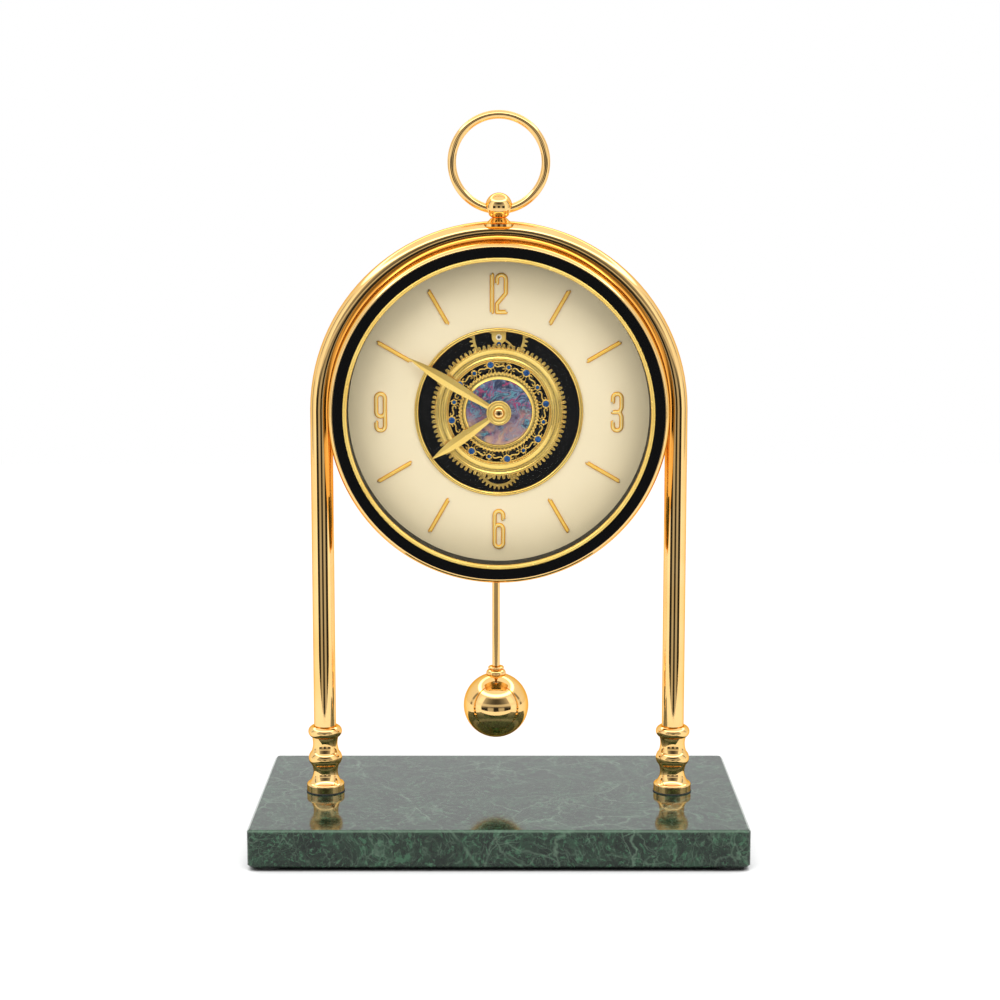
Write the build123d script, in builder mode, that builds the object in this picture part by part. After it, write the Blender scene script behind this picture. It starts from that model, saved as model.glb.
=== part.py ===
from build123d import *
from math import acos, cos, pi, radians, sin, sqrt, tan
import os

os.makedirs("parts", exist_ok=True)

# Marble base
BASE_OVERHANG = 35.0
BASE_D = 150.0
BASE_T = 20.0
BASE_CORNER_R = 3.0
BASE_BEVEL = 1.2
PAD_D = 16.0
PAD_H = 2.0
PAD_INSET = 11.0

# Fits between pieces
RUN_CLEAR = 0.05
FIT_CLEAR = 0.03
AIR_GAP = 0.4

# Arch tube and its turned feet
TUBE_D = 12.0
TUBE_WALL = 1.2
LEG_RUN = 172.6
FLANGE_PROUD = 4.2
FLANGE_BAND = 3.9
FLANGE_ROUND = 1.4
WAIST_PROUD = 0.7
LOWER_COVE_H = 9.9
BEAD_PROUD = 3.1
BEAD_NECK = 1.6
BEAD_H = 7.2
UPPER_COVE_H = 8.2
COLLAR_PROUD = 3.2
COLLAR_NECK = 1.3
COLLAR_H = 6.0
SOCKET_DEPTH = 8.0
BOLT_D = 5.0
BOLT_GRIP = 12.0
BOLT_HEAD_D = 9.0
BOLT_HEAD_H = 4.0
BOLT_SINK = 2.0

# Case
DRUM_R = 88.7
DRUM_WALL = 1.5
DRUM_DEPTH = 40.5
CASE_GAP = 0.3
RIM_OVERHANG = 1.9
RIM_WIDTH = 2.9
RIM_DEPTH = 9.0
BEZEL_FRONT = 22.0
BEZEL_BACK = 5.2
BLACK_RING_W = 5.3
BLACK_RING_T = 1.0
BLACK_RING_SINK = 0.2
INNER_RING_W = 2.2
INNER_RING_T = 2.6
GLASS_T = 1.6
DIAL_FACE = 6.0
DIAL_T = 1.2
DIAL_SEAT_W = 7.5
DIAL_SEAT_T = 1.5
DRUM_LIP = 2.0
CASE_SCREW_D = 3.0
CASE_SCREW_HEAD_D = 6.0
CASE_SCREW_HEAD_H = 2.0

# Finial and carry ring
FINIAL_COLLAR_R = 8.9
FINIAL_COLLAR_DROP = 3.0
FINIAL_COLLAR_RISE = 1.5
FINIAL_COLLAR_EDGE = 1.3
FINIAL_NECK_R = 4.2
FINIAL_BALL_D = 14.2
FINIAL_SEAT = 0.9
STUD_D = 3.0
STUD_TIP_GAP = 0.4
STUD_NUT_AF = 6.0
STUD_NUT_H = 2.4
STUD_END = 1.5
RING_R = 24.8
RING_WIRE_D = 4.5
RING_DROP = 1.9
RING_CLEAR = 0.1

# Dial furniture
BATON_RIM_GAP = 8.6
BATON_WALL_GAP = 5.2
BATON_W = 2.4
BATON_H = 1.4
BATON_BEVEL = 0.6
NUMERAL_RIM_GAP = 7.1
NUMERAL_WALL_GAP = 6.2
NUMERAL_WIDE = 6.9
NUMERAL_STROKE = 2.3
NUMERAL_H = 1.4
NUMERAL_BEVEL = 0.5
NUMERAL_SPACE = 0.4
OPENING_GAP = 6.8
OPENING_RIM_W = 2.0
OPENING_RIM_H = 1.2
OPENING_RIM_WALL = 0.7

# Gear display
MODULE = 0.75
UPPER_DRIVE_TEETH = 66
UPPER_TEETH = 40
LOWER_DRIVE_TEETH = 47
LOWER_TEETH = 32
BACKLASH = 0.12
PRESSURE_ANGLE = 20.0
ADDENDUM = 1.0
DEDENDUM = 1.25
GEAR_T = 1.4
RING_TEETH = 84
RING_MODULE = 0.84
RING_TOOTH_T = 1.0
RING_PEG_SHARE = 0.4
RING_FACE = 6.6
RING_T = 2.2
ANNULUS_GAP = 0.2
ANNULUS_W = 6.3
ANNULUS_BEVEL = 0.35
ANNULUS_LIP_W = 0.9
ANNULUS_COVE_H = 0.7
FILIGREE_T = 1.0
FILIGREE_RIM_W = 0.9
SCROLL_W = 0.7
SCROLL_RISE = 0.45
SCROLL_END = 0.8
CURL_START = 0.15
CURL_RISE = 0.5
CURL_END = 0.75
STEM_LEAN = 1.0
INNER_RING_GEAR_R = 21.7
INNER_RING_GEAR_W = 4.3
INNER_RING_GEAR_TEETH = 48
INNER_RING_TOOTH_H = 0.7
INNER_RING_PEG_SHARE = 0.5
INNER_RING_GEAR_T = 1.0
INNER_RING_BEVEL = 0.25
SHELL_T = 0.8
JEWEL_COUNT = 8
JEWEL_TURN = -10.0
LARGE_JEWEL_R = 25.5
LARGE_JEWEL_D = 3.3
SMALL_JEWEL_R = 24.4
SMALL_JEWEL_D = 1.9
JEWEL_H = 0.9
SETTING_WALL = 0.5
SETTING_H = 0.6
WHEEL_RIM_W = 1.3
WHEEL_HUB_R = 2.6
WHEEL_SPOKES = 4
DRIVE_SPOKES = 5
SPOKE_W = 1.1
SPOKE_BEND = 14.0
ARBOR_D = 1.6
COCK_T = 0.8
COCK_W = 7.5
COCK_FOOT_D = 4.0
COCK_FOOT_GAP = 1.2
COCK_JEWEL_D = 3.2
CAP_JEWEL_D = 2.6
CAP_JEWEL_H = 0.5
LOWER_STUD_D = 2.4
LOWER_STUD_HEAD_D = 4.4
LOWER_STUD_HEAD_H = 0.5
WELL_WALL = 1.2
WELL_FLANGE = 6.0
WELL_FLOOR = 1.5

# Hand arbors, movement and setting knob
ARBOR_MINUTE_D = 2.6
PIPE_WALL = 0.9
SLEEVE_WALL = 0.9
SLEEVE_FLANGE_R = 6.5
BUSH_WALL = 1.4
NUT_AF = 13.0
NUT_H = 2.0
NUT_CLEAR = 1.2
ARBOR_STEP = 1.5
SLEEVE_GRIP = 4.5
MOVEMENT_W = 56.0
MOVEMENT_H = 68.0
MOVEMENT_D = 16.0
MOVEMENT_CORNER = 4.0
BATTERY_D = 14.2
BATTERY_LEN = 49.0
BATTERY_NUB_D = 5.5
BATTERY_NUB_H = 1.2
BATTERY_X = -17.0
CONTACT_T = 0.5
CONTACT_W = 9.0
KNOB_X = 14.0
KNOB_Z = 14.0
KNOB_D = 13.0
KNOB_T = 4.0
KNOB_FLUTES = 16
KNOB_FLUTE_D = 1.6
KNOB_SHAFT_D = 3.0
KNOB_SHAFT_LEN = 6.0
KNOB_LIFT = 0.8

# Hands, set to ten minutes to eight
SHOWN_HOUR = 7
MINUTE_ANGLE = 301.4
MINUTE_LEN = 56.0
HOUR_LEN = 43.5
HAND_W = 5.7
HAND_EDGE = 0.35
HAND_RIDGE = 1.0
HOUR_FACE = 9.6
MINUTE_FACE = 11.6
HOUR_BOSS_R = 5.4
MINUTE_BOSS_R = 6.6
HAND_BOSS_T = 1.0
BOSS_ROUND = 0.55
BOSS_LAND = 0.3
BOSS_DISH = 0.35
CAP_D = 5.9
CAP_H = 2.6
CAP_ROOT = 0.6
CAP_ROUND = 0.8

# Pendulum
PENDULUM_X = -1.6
PENDULUM_Y = 26.0
PIVOT_DROP = 20.0
PIVOT_D = 2.4
PIVOT_HEAD_D = 4.4
PIVOT_HEAD_T = 0.8
BRACKET_W = 12.0
BRACKET_H = 12.0
BRACKET_T = 1.0
HOOK_R = 4.0
HOOK_T = 2.4
FERRULE_D = 6.4
FERRULE_H = 9.0
FERRULE_DROP = 6.0
ROD_D = 4.2
ROD_GRIP = 6.0
BOB_D = 36.2
BOB_CLEAR = 24.0
BOB_SOCKET = 6.0
POMMEL_D = 10.9
POMMEL_H = 4.2
POMMEL_NECK_D = 7.6
POMMEL_SINK = 1.6
POMMEL_RING_D = 8.8
POMMEL_RING_H = 1.7
SWING_DEG = 4.0
SLOT_SPARE = 4.0
SLOT_GAP = 1.2

# Rear cover
COVER_T = 1.5
COVER_SEAT_W = 7.5
COVER_SEAT_T = 1.5
WINDOW_W = 66.0
WINDOW_H = 82.0
WINDOW_CORNER = 6.0
REAR_SCREWS = 4
REAR_SCREW_D = 2.4
REAR_SCREW_HEAD_D = 4.8
REAR_SCREW_HEAD_H = 1.2
REAR_SCREW_LEN = 4.5

# Radii and levels worked out from the sizes above
TUBE_R = TUBE_D / 2
BOLT_R = BOLT_D / 2
BASE_TOP = PAD_H + BASE_T
FOOT_H = FLANGE_BAND + FLANGE_ROUND + LOWER_COVE_H + BEAD_H + UPPER_COVE_H + COLLAR_H
CENTRE_Z = BASE_TOP + FOOT_H + LEG_RUN
ARCH_R = DRUM_R + CASE_GAP + TUBE_R
ARCH_TOP = CENTRE_Z + ARCH_R + TUBE_R
BASE_W = 2 * (ARCH_R + BASE_OVERHANG)
BEZEL_R = DRUM_R + RIM_OVERHANG
BLACK_OUT_R = BEZEL_R - RIM_WIDTH
BLACK_IN_R = BLACK_OUT_R - BLACK_RING_W
SIGHT_R = BLACK_IN_R - INNER_RING_W
BORE_R = DRUM_R - DRUM_WALL
WALL_CUT = 3 * DRUM_WALL
DRUM_FRONT = DIAL_FACE + DRUM_LIP
DRUM_BACK = DRUM_FRONT - DRUM_DEPTH
BLACK_BACK = BEZEL_FRONT - BLACK_RING_SINK - BLACK_RING_T
GLASS_FACE = BLACK_BACK - BLACK_RING_SINK - BLACK_RING_T
DIAL_BACK = DIAL_FACE - DIAL_T

BALL_R = FINIAL_BALL_D / 2
COLLAR_TOP = ARCH_TOP + FINIAL_COLLAR_RISE
BALL_Z = COLLAR_TOP + BALL_R - FINIAL_SEAT
RING_Z = BALL_Z - RING_DROP
WIRE_R = RING_WIRE_D / 2
STUD_R = STUD_D / 2
STUD_TOP = RING_Z - WIRE_R - RING_CLEAR - STUD_TIP_GAP
NUT_TOP = CENTRE_Z + sqrt(BORE_R ** 2 - STUD_NUT_AF ** 2) - FIT_CLEAR

RING_TIP_R = RING_MODULE * (RING_TEETH / 2 + 1)
OPENING_R = RING_TIP_R + OPENING_GAP
EYELET_R = OPENING_R + OPENING_RIM_W
BATON_IN_R = EYELET_R + BATON_RIM_GAP
BATON_LEN = SIGHT_R - BATON_WALL_GAP - BATON_IN_R
NUMERAL_IN_R = EYELET_R + NUMERAL_RIM_GAP
NUMERAL_TALL = SIGHT_R - NUMERAL_WALL_GAP - NUMERAL_IN_R
NUMERAL_R = NUMERAL_IN_R + NUMERAL_TALL / 2
ANNULUS_OUT_R = RING_MODULE * (RING_TEETH / 2 - DEDENDUM) - ANNULUS_GAP
ANNULUS_IN_R = ANNULUS_OUT_R - ANNULUS_W
RING_BACK = RING_FACE - RING_T
FILIGREE_R = ANNULUS_IN_R - FIT_CLEAR
FILIGREE_FACE = RING_BACK + FILIGREE_T
SHELL_R = INNER_RING_GEAR_R - INNER_RING_GEAR_W
COCK_FACE = RING_BACK - AIR_GAP
UPPER_FACE = COCK_FACE - COCK_T - AIR_GAP
LOWER_FACE = UPPER_FACE - GEAR_T - LOWER_STUD_HEAD_H - AIR_GAP / 2
LOWER_BACK = LOWER_FACE - GEAR_T
NUT_FACE = LOWER_BACK - NUT_CLEAR
WELL_FACE = NUT_FACE - NUT_H
WELL_BACK = WELL_FACE - WELL_FLOOR
UPPER_DIST = MODULE * (UPPER_DRIVE_TEETH + UPPER_TEETH) / 2
LOWER_DIST = MODULE * (LOWER_DRIVE_TEETH + LOWER_TEETH) / 2
UPPER_REACH = UPPER_DIST + MODULE * (UPPER_TEETH / 2 + ADDENDUM)
COCK_FOOT_R = UPPER_REACH + COCK_FOOT_GAP + COCK_FOOT_D / 2
WELL_R = COCK_FOOT_R + COCK_W / 2 + COCK_FOOT_GAP

MINUTE_R = ARBOR_MINUTE_D / 2
PIPE_IN_R = MINUTE_R + RUN_CLEAR
PIPE_R = PIPE_IN_R + PIPE_WALL
SLEEVE_IN_R = PIPE_R + RUN_CLEAR
SLEEVE_R = SLEEVE_IN_R + SLEEVE_WALL
BUSH_IN_R = SLEEVE_R + RUN_CLEAR
BUSH_R = BUSH_IN_R + BUSH_WALL
SLEEVE_BACK = WELL_BACK - SLEEVE_GRIP
PIPE_BACK = SLEEVE_BACK - ARBOR_STEP
ARBOR_BACK = PIPE_BACK - ARBOR_STEP
MOVEMENT_BACK = WELL_BACK - MOVEMENT_D
BATTERY_R = BATTERY_D / 2
BATTERY_FRONT = MOVEMENT_BACK + BATTERY_R + AIR_GAP

PIVOT_Z = CENTRE_Z - PIVOT_DROP
ROD_R = ROD_D / 2
BOB_R = BOB_D / 2
BOB_Z = BASE_TOP + BOB_CLEAR + BOB_R
PIVOT_R = PIVOT_D / 2
COVER_R = BORE_R - FIT_CLEAR
COVER_FACE = DRUM_BACK + COVER_T
REAR_SCREW_CIRCLE = BORE_R - COVER_SEAT_W / 2

# The clock's face plane looks at the viewer: x to the right, y up and z to the front
FACE = Plane(origin=(0, 0, CENTRE_Z), x_dir=(1, 0, 0), z_dir=(0, -1, 0))
# The turning plane for pieces round the clock's axis: x is the radius, y is to the front
TURNING = Plane(origin=(0, 0, CENTRE_Z), x_dir=(1, 0, 0), z_dir=(0, 0, -1))
CLOCK_AXIS = Axis((0, 0, CENTRE_Z), (0, 1, 0))


def keep(piece, name):
    """Label a finished piece and write it."""
    piece.part.label = name
    export_step(piece.part, f"parts/{name}.step")


def polar(radius, degrees):
    """A point of the face plane, with the angle counted from the right."""
    return (radius * cos(radians(degrees)), radius * sin(radians(degrees)))


def clock_polar(radius, degrees):
    """A point of the face plane, with the angle counted clockwise from twelve."""
    return polar(radius, 90 - degrees)


def involute(angle):
    """The involute function of an angle in radians."""
    return tan(angle) - angle


def gear_points(teeth, module, tooth_at):
    """The outline of an involute gear with one tooth centred at an angle in degrees."""
    pitch_r = module * teeth / 2
    base_r = pitch_r * cos(radians(PRESSURE_ANGLE))
    half_tooth = pi / (2 * teeth) - BACKLASH / (2 * pitch_r)
    spread = half_tooth + involute(radians(PRESSURE_ANGLE))
    flank = []
    for radius in (pitch_r - DEDENDUM * module, pitch_r, pitch_r + ADDENDUM * module):
        reach = max(radius, base_r)
        flank.append((radius, spread - involute(acos(base_r / reach))))
    points = []
    for tooth in range(teeth):
        middle = radians(tooth_at) + 2 * pi * tooth / teeth
        sides = [(radius, -half) for radius, half in flank]
        sides += [(radius, half) for radius, half in reversed(flank)]
        for radius, turn in sides:
            points.append((radius * cos(middle + turn), radius * sin(middle + turn)))
    return points


def peg_points(teeth, root_r, tip_r, share):
    """The outline of a ring of short pegs, each taking a share of the pitch at its tip."""
    points = []
    for tooth in range(teeth):
        middle = 360.0 * tooth / teeth
        half_root = 0.5 * 360.0 / teeth * (share + (1 - share) / 2)
        half_tip = 0.5 * 360.0 / teeth * share
        points.append(polar(root_r, middle - half_root))
        points.append(polar(tip_r, middle - half_tip))
        points.append(polar(tip_r, middle + half_tip))
        points.append(polar(root_r, middle + half_root))
    return points


# Marble slab with eased corners and bored for the column bolts
with BuildPart() as marble_base:
    with BuildSketch(Plane.XY.offset(PAD_H)):
        RectangleRounded(BASE_W, BASE_D, BASE_CORNER_R)
    extrude(amount=BASE_T)
    chamfer(marble_base.faces().sort_by(Axis.Z)[-1].edges(), BASE_BEVEL)
    chamfer(marble_base.faces().sort_by(Axis.Z)[0].edges(), BASE_BEVEL)
    with Locations(Plane.XY.offset(PAD_H).rotated((180, 0, 0))):
        with Locations((-ARCH_R, 0), (ARCH_R, 0)):
            CounterBoreHole(
                BOLT_R + FIT_CLEAR, BOLT_HEAD_D / 2 + AIR_GAP, BOLT_SINK + BOLT_HEAD_H, BASE_T
            )
keep(marble_base, "marble_base")

# Four rubber pads under the slab's corners
with BuildPart() as rubber_feet:
    with BuildSketch(Plane.XY):
        with GridLocations(BASE_W - 2 * PAD_INSET, BASE_D - 2 * PAD_INSET, 2, 2):
            Circle(PAD_D / 2)
    extrude(amount=PAD_H)
keep(rubber_feet, "rubber_feet")

# Bolts that clamp the columns to the slab from below
with BuildPart() as base_bolts:
    with BuildSketch(Plane.XY.offset(PAD_H + BOLT_SINK)):
        with Locations((-ARCH_R, 0), (ARCH_R, 0)):
            Circle(BOLT_HEAD_D / 2)
    extrude(amount=BOLT_HEAD_H)
    with BuildSketch(Plane.XY.offset(PAD_H + BOLT_SINK + BOLT_HEAD_H)):
        with Locations((-ARCH_R, 0), (ARCH_R, 0)):
            Circle(BOLT_R)
    extrude(amount=BASE_T - BOLT_SINK - BOLT_HEAD_H + BOLT_GRIP - AIR_GAP)
keep(base_bolts, "base_bolts")

# Turned column feet: flange, cove, bead, cove and collar, with a socket for the tube
for side, name in ((-1, "left_column_foot"), (1, "right_column_foot")):
    lower_cove_z = FLANGE_BAND + FLANGE_ROUND
    bead_z = lower_cove_z + LOWER_COVE_H
    upper_cove_z = bead_z + BEAD_H
    collar_z = upper_cove_z + UPPER_COVE_H
    flange_r = TUBE_R + FLANGE_PROUD
    waist_r = TUBE_R + WAIST_PROUD
    bead_neck_r = TUBE_R + BEAD_NECK
    collar_neck_r = TUBE_R + COLLAR_NECK
    with BuildPart() as column_foot:
        foot_plane = Plane(origin=(side * ARCH_R, 0, BASE_TOP), x_dir=(1, 0, 0), z_dir=(0, -1, 0))
        with BuildSketch(foot_plane):
            with BuildLine():
                Polyline((0, FOOT_H), (0, 0), (flange_r, 0), (flange_r, FLANGE_BAND))
                RadiusArc(
                    (flange_r, FLANGE_BAND), (flange_r - FLANGE_ROUND, lower_cove_z), -FLANGE_ROUND
                )
                ThreePointArc(
                    (flange_r - FLANGE_ROUND, lower_cove_z),
                    (waist_r, lower_cove_z + LOWER_COVE_H / 2),
                    (bead_neck_r, bead_z),
                )
                ThreePointArc(
                    (bead_neck_r, bead_z),
                    (TUBE_R + BEAD_PROUD, bead_z + BEAD_H / 2),
                    (bead_neck_r, upper_cove_z),
                )
                ThreePointArc(
                    (bead_neck_r, upper_cove_z),
                    (waist_r, upper_cove_z + UPPER_COVE_H / 2),
                    (collar_neck_r, collar_z),
                )
                ThreePointArc(
                    (collar_neck_r, collar_z),
                    (TUBE_R + COLLAR_PROUD, collar_z + COLLAR_H / 2),
                    (collar_neck_r, FOOT_H),
                )
                Line((collar_neck_r, FOOT_H), (0, FOOT_H))
            make_face()
        revolve(axis=Axis((side * ARCH_R, 0, 0), (0, 0, 1)))
        with BuildSketch(Plane((side * ARCH_R, 0, BASE_TOP + FOOT_H))):
            Circle(TUBE_R + FIT_CLEAR)
        extrude(amount=-SOCKET_DEPTH, mode=Mode.SUBTRACT)
        with BuildSketch(Plane((side * ARCH_R, 0, BASE_TOP))):
            Circle(BOLT_R + FIT_CLEAR)
        extrude(amount=BOLT_GRIP, mode=Mode.SUBTRACT)
    keep(column_foot, name)

# Bent arch tube, drilled at the crown for the finial stud and inside each leg for a case screw
with BuildPart() as arch_tube:
    leg_z = BASE_TOP + FOOT_H - SOCKET_DEPTH
    with BuildLine() as arch_line:
        Line((-ARCH_R, 0, leg_z), (-ARCH_R, 0, CENTRE_Z))
        ThreePointArc((-ARCH_R, 0, CENTRE_Z), (0, 0, CENTRE_Z + ARCH_R), (ARCH_R, 0, CENTRE_Z))
        Line((ARCH_R, 0, CENTRE_Z), (ARCH_R, 0, leg_z))
    with BuildSketch(Plane((-ARCH_R, 0, leg_z))):
        Circle(TUBE_R)
        Circle(TUBE_R - TUBE_WALL, mode=Mode.SUBTRACT)
    sweep()
    with BuildSketch(Plane((0, 0, CENTRE_Z + DRUM_R))):
        Circle(STUD_R + FIT_CLEAR)
    extrude(amount=TUBE_D + 2 * CASE_GAP + TUBE_WALL, mode=Mode.SUBTRACT)
    for side in (-1, 1):
        with BuildSketch(Plane((side * DRUM_R, 0, CENTRE_Z), z_dir=(side, 0, 0))):
            Circle(CASE_SCREW_D / 2 + FIT_CLEAR)
        extrude(amount=TUBE_R, mode=Mode.SUBTRACT)
keep(arch_tube, "arch_tube")

# Flared saddle that seats the finial on the round of the tube
with BuildPart() as finial_collar:
    with BuildSketch(Plane.XZ):
        with BuildLine():
            low_z = ARCH_TOP - FINIAL_COLLAR_DROP
            edge_z = low_z + FINIAL_COLLAR_EDGE
            Polyline((0, COLLAR_TOP), (0, low_z), (FINIAL_COLLAR_R, low_z), (FINIAL_COLLAR_R, edge_z))
            RadiusArc((FINIAL_COLLAR_R, edge_z), (FINIAL_NECK_R, COLLAR_TOP), FINIAL_COLLAR_R)
            Line((FINIAL_NECK_R, COLLAR_TOP), (0, COLLAR_TOP))
        make_face()
    revolve(axis=Axis.Z)
    with Locations(FACE):
        Torus(ARCH_R, TUBE_R + FIT_CLEAR, mode=Mode.SUBTRACT)
    with BuildSketch(Plane.XY.offset(COLLAR_TOP)):
        Circle(STUD_R + FIT_CLEAR)
    extrude(amount=-2 * FINIAL_COLLAR_DROP, mode=Mode.SUBTRACT)
keep(finial_collar, "finial_collar")

# Finial ball with a waisted cross bore in which the carry ring turns
with BuildPart() as finial_ball:
    with Locations((0, 0, BALL_Z)):
        Sphere(BALL_R)
    split(bisect_by=Plane.XY.offset(COLLAR_TOP), keep=Keep.TOP)
    with BuildSketch(Plane.XZ):
        with BuildLine():
            bore_curve_r = RING_R - WIRE_R - RING_CLEAR
            mouth = BALL_R + AIR_GAP
            mouth_z = RING_Z + RING_R - sqrt(bore_curve_r ** 2 - mouth ** 2)
            ThreePointArc(
                (-mouth, mouth_z), (0, RING_Z + RING_R - bore_curve_r), (mouth, mouth_z)
            )
            Polyline((mouth, mouth_z), (mouth, RING_Z), (-mouth, RING_Z), (-mouth, mouth_z))
        make_face()
    revolve(axis=Axis((0, 0, RING_Z), (1, 0, 0)), mode=Mode.SUBTRACT)
    with BuildSketch(Plane.XY.offset(COLLAR_TOP)):
        Circle(STUD_R + FIT_CLEAR)
    extrude(amount=STUD_TOP - COLLAR_TOP + FIT_CLEAR, mode=Mode.SUBTRACT)
keep(finial_ball, "finial_ball")

# Stud from the finial through the tube into the case, and its nut inside
with BuildPart() as finial_stud:
    stud_low = NUT_TOP - STUD_NUT_H - STUD_END
    with BuildSketch(Plane.XY.offset(stud_low)):
        Circle(STUD_R)
    extrude(amount=STUD_TOP - stud_low)
keep(finial_stud, "finial_stud")

with BuildPart() as stud_nut:
    with BuildSketch(Plane.XY.offset(NUT_TOP)):
        RegularPolygon(STUD_NUT_AF / 2, 6, major_radius=False)
        Circle(STUD_R + FIT_CLEAR, mode=Mode.SUBTRACT)
    extrude(amount=-STUD_NUT_H)
keep(stud_nut, "stud_nut")

# Round wire carry ring, standing in the ball
with BuildPart() as carry_ring:
    with Locations(Plane(origin=(0, 0, RING_Z + RING_R), x_dir=(1, 0, 0), z_dir=(0, -1, 0))):
        Torus(RING_R, WIRE_R)
keep(carry_ring, "carry_ring")

# Drum of the case, with a slot for the pendulum
with BuildPart() as case_drum:
    with BuildSketch(TURNING):
        with BuildLine():
            Polyline(
                (DRUM_R, DRUM_FRONT), (DRUM_R, DRUM_BACK), (BORE_R, DRUM_BACK), (BORE_R, DRUM_FRONT), close=True
            )
        make_face()
    revolve(axis=CLOCK_AXIS)
    with BuildSketch(Plane.XY.offset(CENTRE_Z + BORE_R - DRUM_WALL)):
        Circle(STUD_R + FIT_CLEAR)
    extrude(amount=WALL_CUT, mode=Mode.SUBTRACT)
    for side in (-1, 1):
        with BuildSketch(Plane((side * (BORE_R - DRUM_WALL), 0, CENTRE_Z), z_dir=(side, 0, 0))):
            Circle(CASE_SCREW_D / 2 + FIT_CLEAR)
        extrude(amount=WALL_CUT, mode=Mode.SUBTRACT)
    slot_swing = (DRUM_R - PIVOT_DROP) * tan(radians(SWING_DEG))
    slot_w = 2 * (slot_swing + ROD_R + SLOT_SPARE)
    with BuildSketch(Plane.XY.offset(CENTRE_Z - DRUM_R - DRUM_WALL)):
        with Locations((PENDULUM_X, PENDULUM_Y)):
            SlotOverall(slot_w, 2 * (ROD_R + SLOT_GAP))
    extrude(amount=2 * WALL_CUT, mode=Mode.SUBTRACT)
keep(case_drum, "case_drum")

# Ring soldered into the drum that the dial lies on
with BuildPart() as dial_seat:
    with BuildSketch(FACE.offset(DIAL_BACK)):
        Circle(BORE_R - FIT_CLEAR)
        Circle(BORE_R - DIAL_SEAT_W, mode=Mode.SUBTRACT)
    extrude(amount=-DIAL_SEAT_T)
keep(dial_seat, "dial_seat")

# Ring soldered into the drum that takes the rear cover's screws
with BuildPart() as cover_seat:
    with BuildSketch(FACE.offset(COVER_FACE)):
        Circle(BORE_R - FIT_CLEAR)
        Circle(BORE_R - COVER_SEAT_W, mode=Mode.SUBTRACT)
        with PolarLocations(REAR_SCREW_CIRCLE, REAR_SCREWS, 45):
            Circle(REAR_SCREW_D / 2 + FIT_CLEAR, mode=Mode.SUBTRACT)
    extrude(amount=COVER_SEAT_T)
keep(cover_seat, "cover_seat")

# Screws from inside the drum into the two legs of the arch
with BuildPart() as case_screws:
    for side in (-1, 1):
        head_x = side * (sqrt(BORE_R ** 2 - (CASE_SCREW_HEAD_D / 2) ** 2) - FIT_CLEAR)
        with BuildSketch(Plane((head_x, 0, CENTRE_Z), z_dir=(side, 0, 0))):
            Circle(CASE_SCREW_HEAD_D / 2)
        extrude(amount=-CASE_SCREW_HEAD_H)
        with BuildSketch(Plane((head_x, 0, CENTRE_Z), z_dir=(side, 0, 0))):
            Circle(CASE_SCREW_D / 2)
        extrude(amount=DRUM_WALL + CASE_GAP + 2 * TUBE_WALL)
keep(case_screws, "case_screws")

# Front bezel with an ovolo rim that stands over the tube
with BuildPart() as bezel:
    with BuildSketch(TURNING):
        with BuildLine():
            Polyline(
                (BEZEL_R, BEZEL_FRONT - RIM_DEPTH),
                (BEZEL_R, BEZEL_BACK),
                (DRUM_R + FIT_CLEAR, BEZEL_BACK),
                (DRUM_R + FIT_CLEAR, DRUM_FRONT),
                (BORE_R - FIT_CLEAR, DRUM_FRONT),
                (BORE_R - FIT_CLEAR, DIAL_FACE),
                (BLACK_IN_R, DIAL_FACE),
                (BLACK_IN_R, BLACK_BACK),
                (BLACK_OUT_R, BLACK_BACK),
                (BLACK_OUT_R, BEZEL_FRONT),
            )
            EllipticalCenterArc(
                (BLACK_OUT_R, BEZEL_FRONT - RIM_DEPTH), RIM_WIDTH, RIM_DEPTH, start_angle=0, arc_size=90
            )
        make_face()
    revolve(axis=CLOCK_AXIS)
keep(bezel, "bezel")

# Black enamelled ring laid in the bezel
with BuildPart() as black_ring:
    with BuildSketch(FACE.offset(BLACK_BACK)):
        Circle(BLACK_OUT_R - FIT_CLEAR)
        Circle(BLACK_IN_R + FIT_CLEAR, mode=Mode.SUBTRACT)
    extrude(amount=BLACK_RING_T)
keep(black_ring, "black_bezel_ring")

# Gold sight ring with a rounded nose that holds the glass
with BuildPart() as sight_ring:
    with BuildSketch(TURNING):
        with BuildLine():
            ring_out_r = BLACK_IN_R - FIT_CLEAR
            nose_z = GLASS_FACE + INNER_RING_T - INNER_RING_W / 2
            Polyline((ring_out_r, nose_z), (ring_out_r, GLASS_FACE), (SIGHT_R, GLASS_FACE), (SIGHT_R, nose_z))
            ThreePointArc(
                (SIGHT_R, nose_z),
                ((SIGHT_R + ring_out_r) / 2, GLASS_FACE + INNER_RING_T),
                (ring_out_r, nose_z),
            )
        make_face()
    revolve(axis=CLOCK_AXIS)
keep(sight_ring, "sight_ring")

# Flat front glass
with BuildPart() as front_glass:
    with BuildSketch(FACE.offset(GLASS_FACE)):
        Circle(BLACK_IN_R - FIT_CLEAR)
    extrude(amount=-GLASS_T)
keep(front_glass, "front_glass")

# Dark wall between the glass and the dial
with BuildPart() as dial_wall:
    with BuildSketch(FACE.offset(DIAL_FACE)):
        Circle(BLACK_IN_R - FIT_CLEAR)
        Circle(SIGHT_R, mode=Mode.SUBTRACT)
    extrude(amount=GLASS_FACE - GLASS_T - DIAL_FACE)
keep(dial_wall, "dial_wall")

# Dial plate, pierced in the middle to show the gears
with BuildPart() as dial_plate:
    with BuildSketch(FACE.offset(DIAL_FACE)):
        Circle(BORE_R - FIT_CLEAR)
        Circle(OPENING_R + OPENING_RIM_WALL + FIT_CLEAR, mode=Mode.SUBTRACT)
    extrude(amount=-DIAL_T)
keep(dial_plate, "dial_plate")

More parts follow.
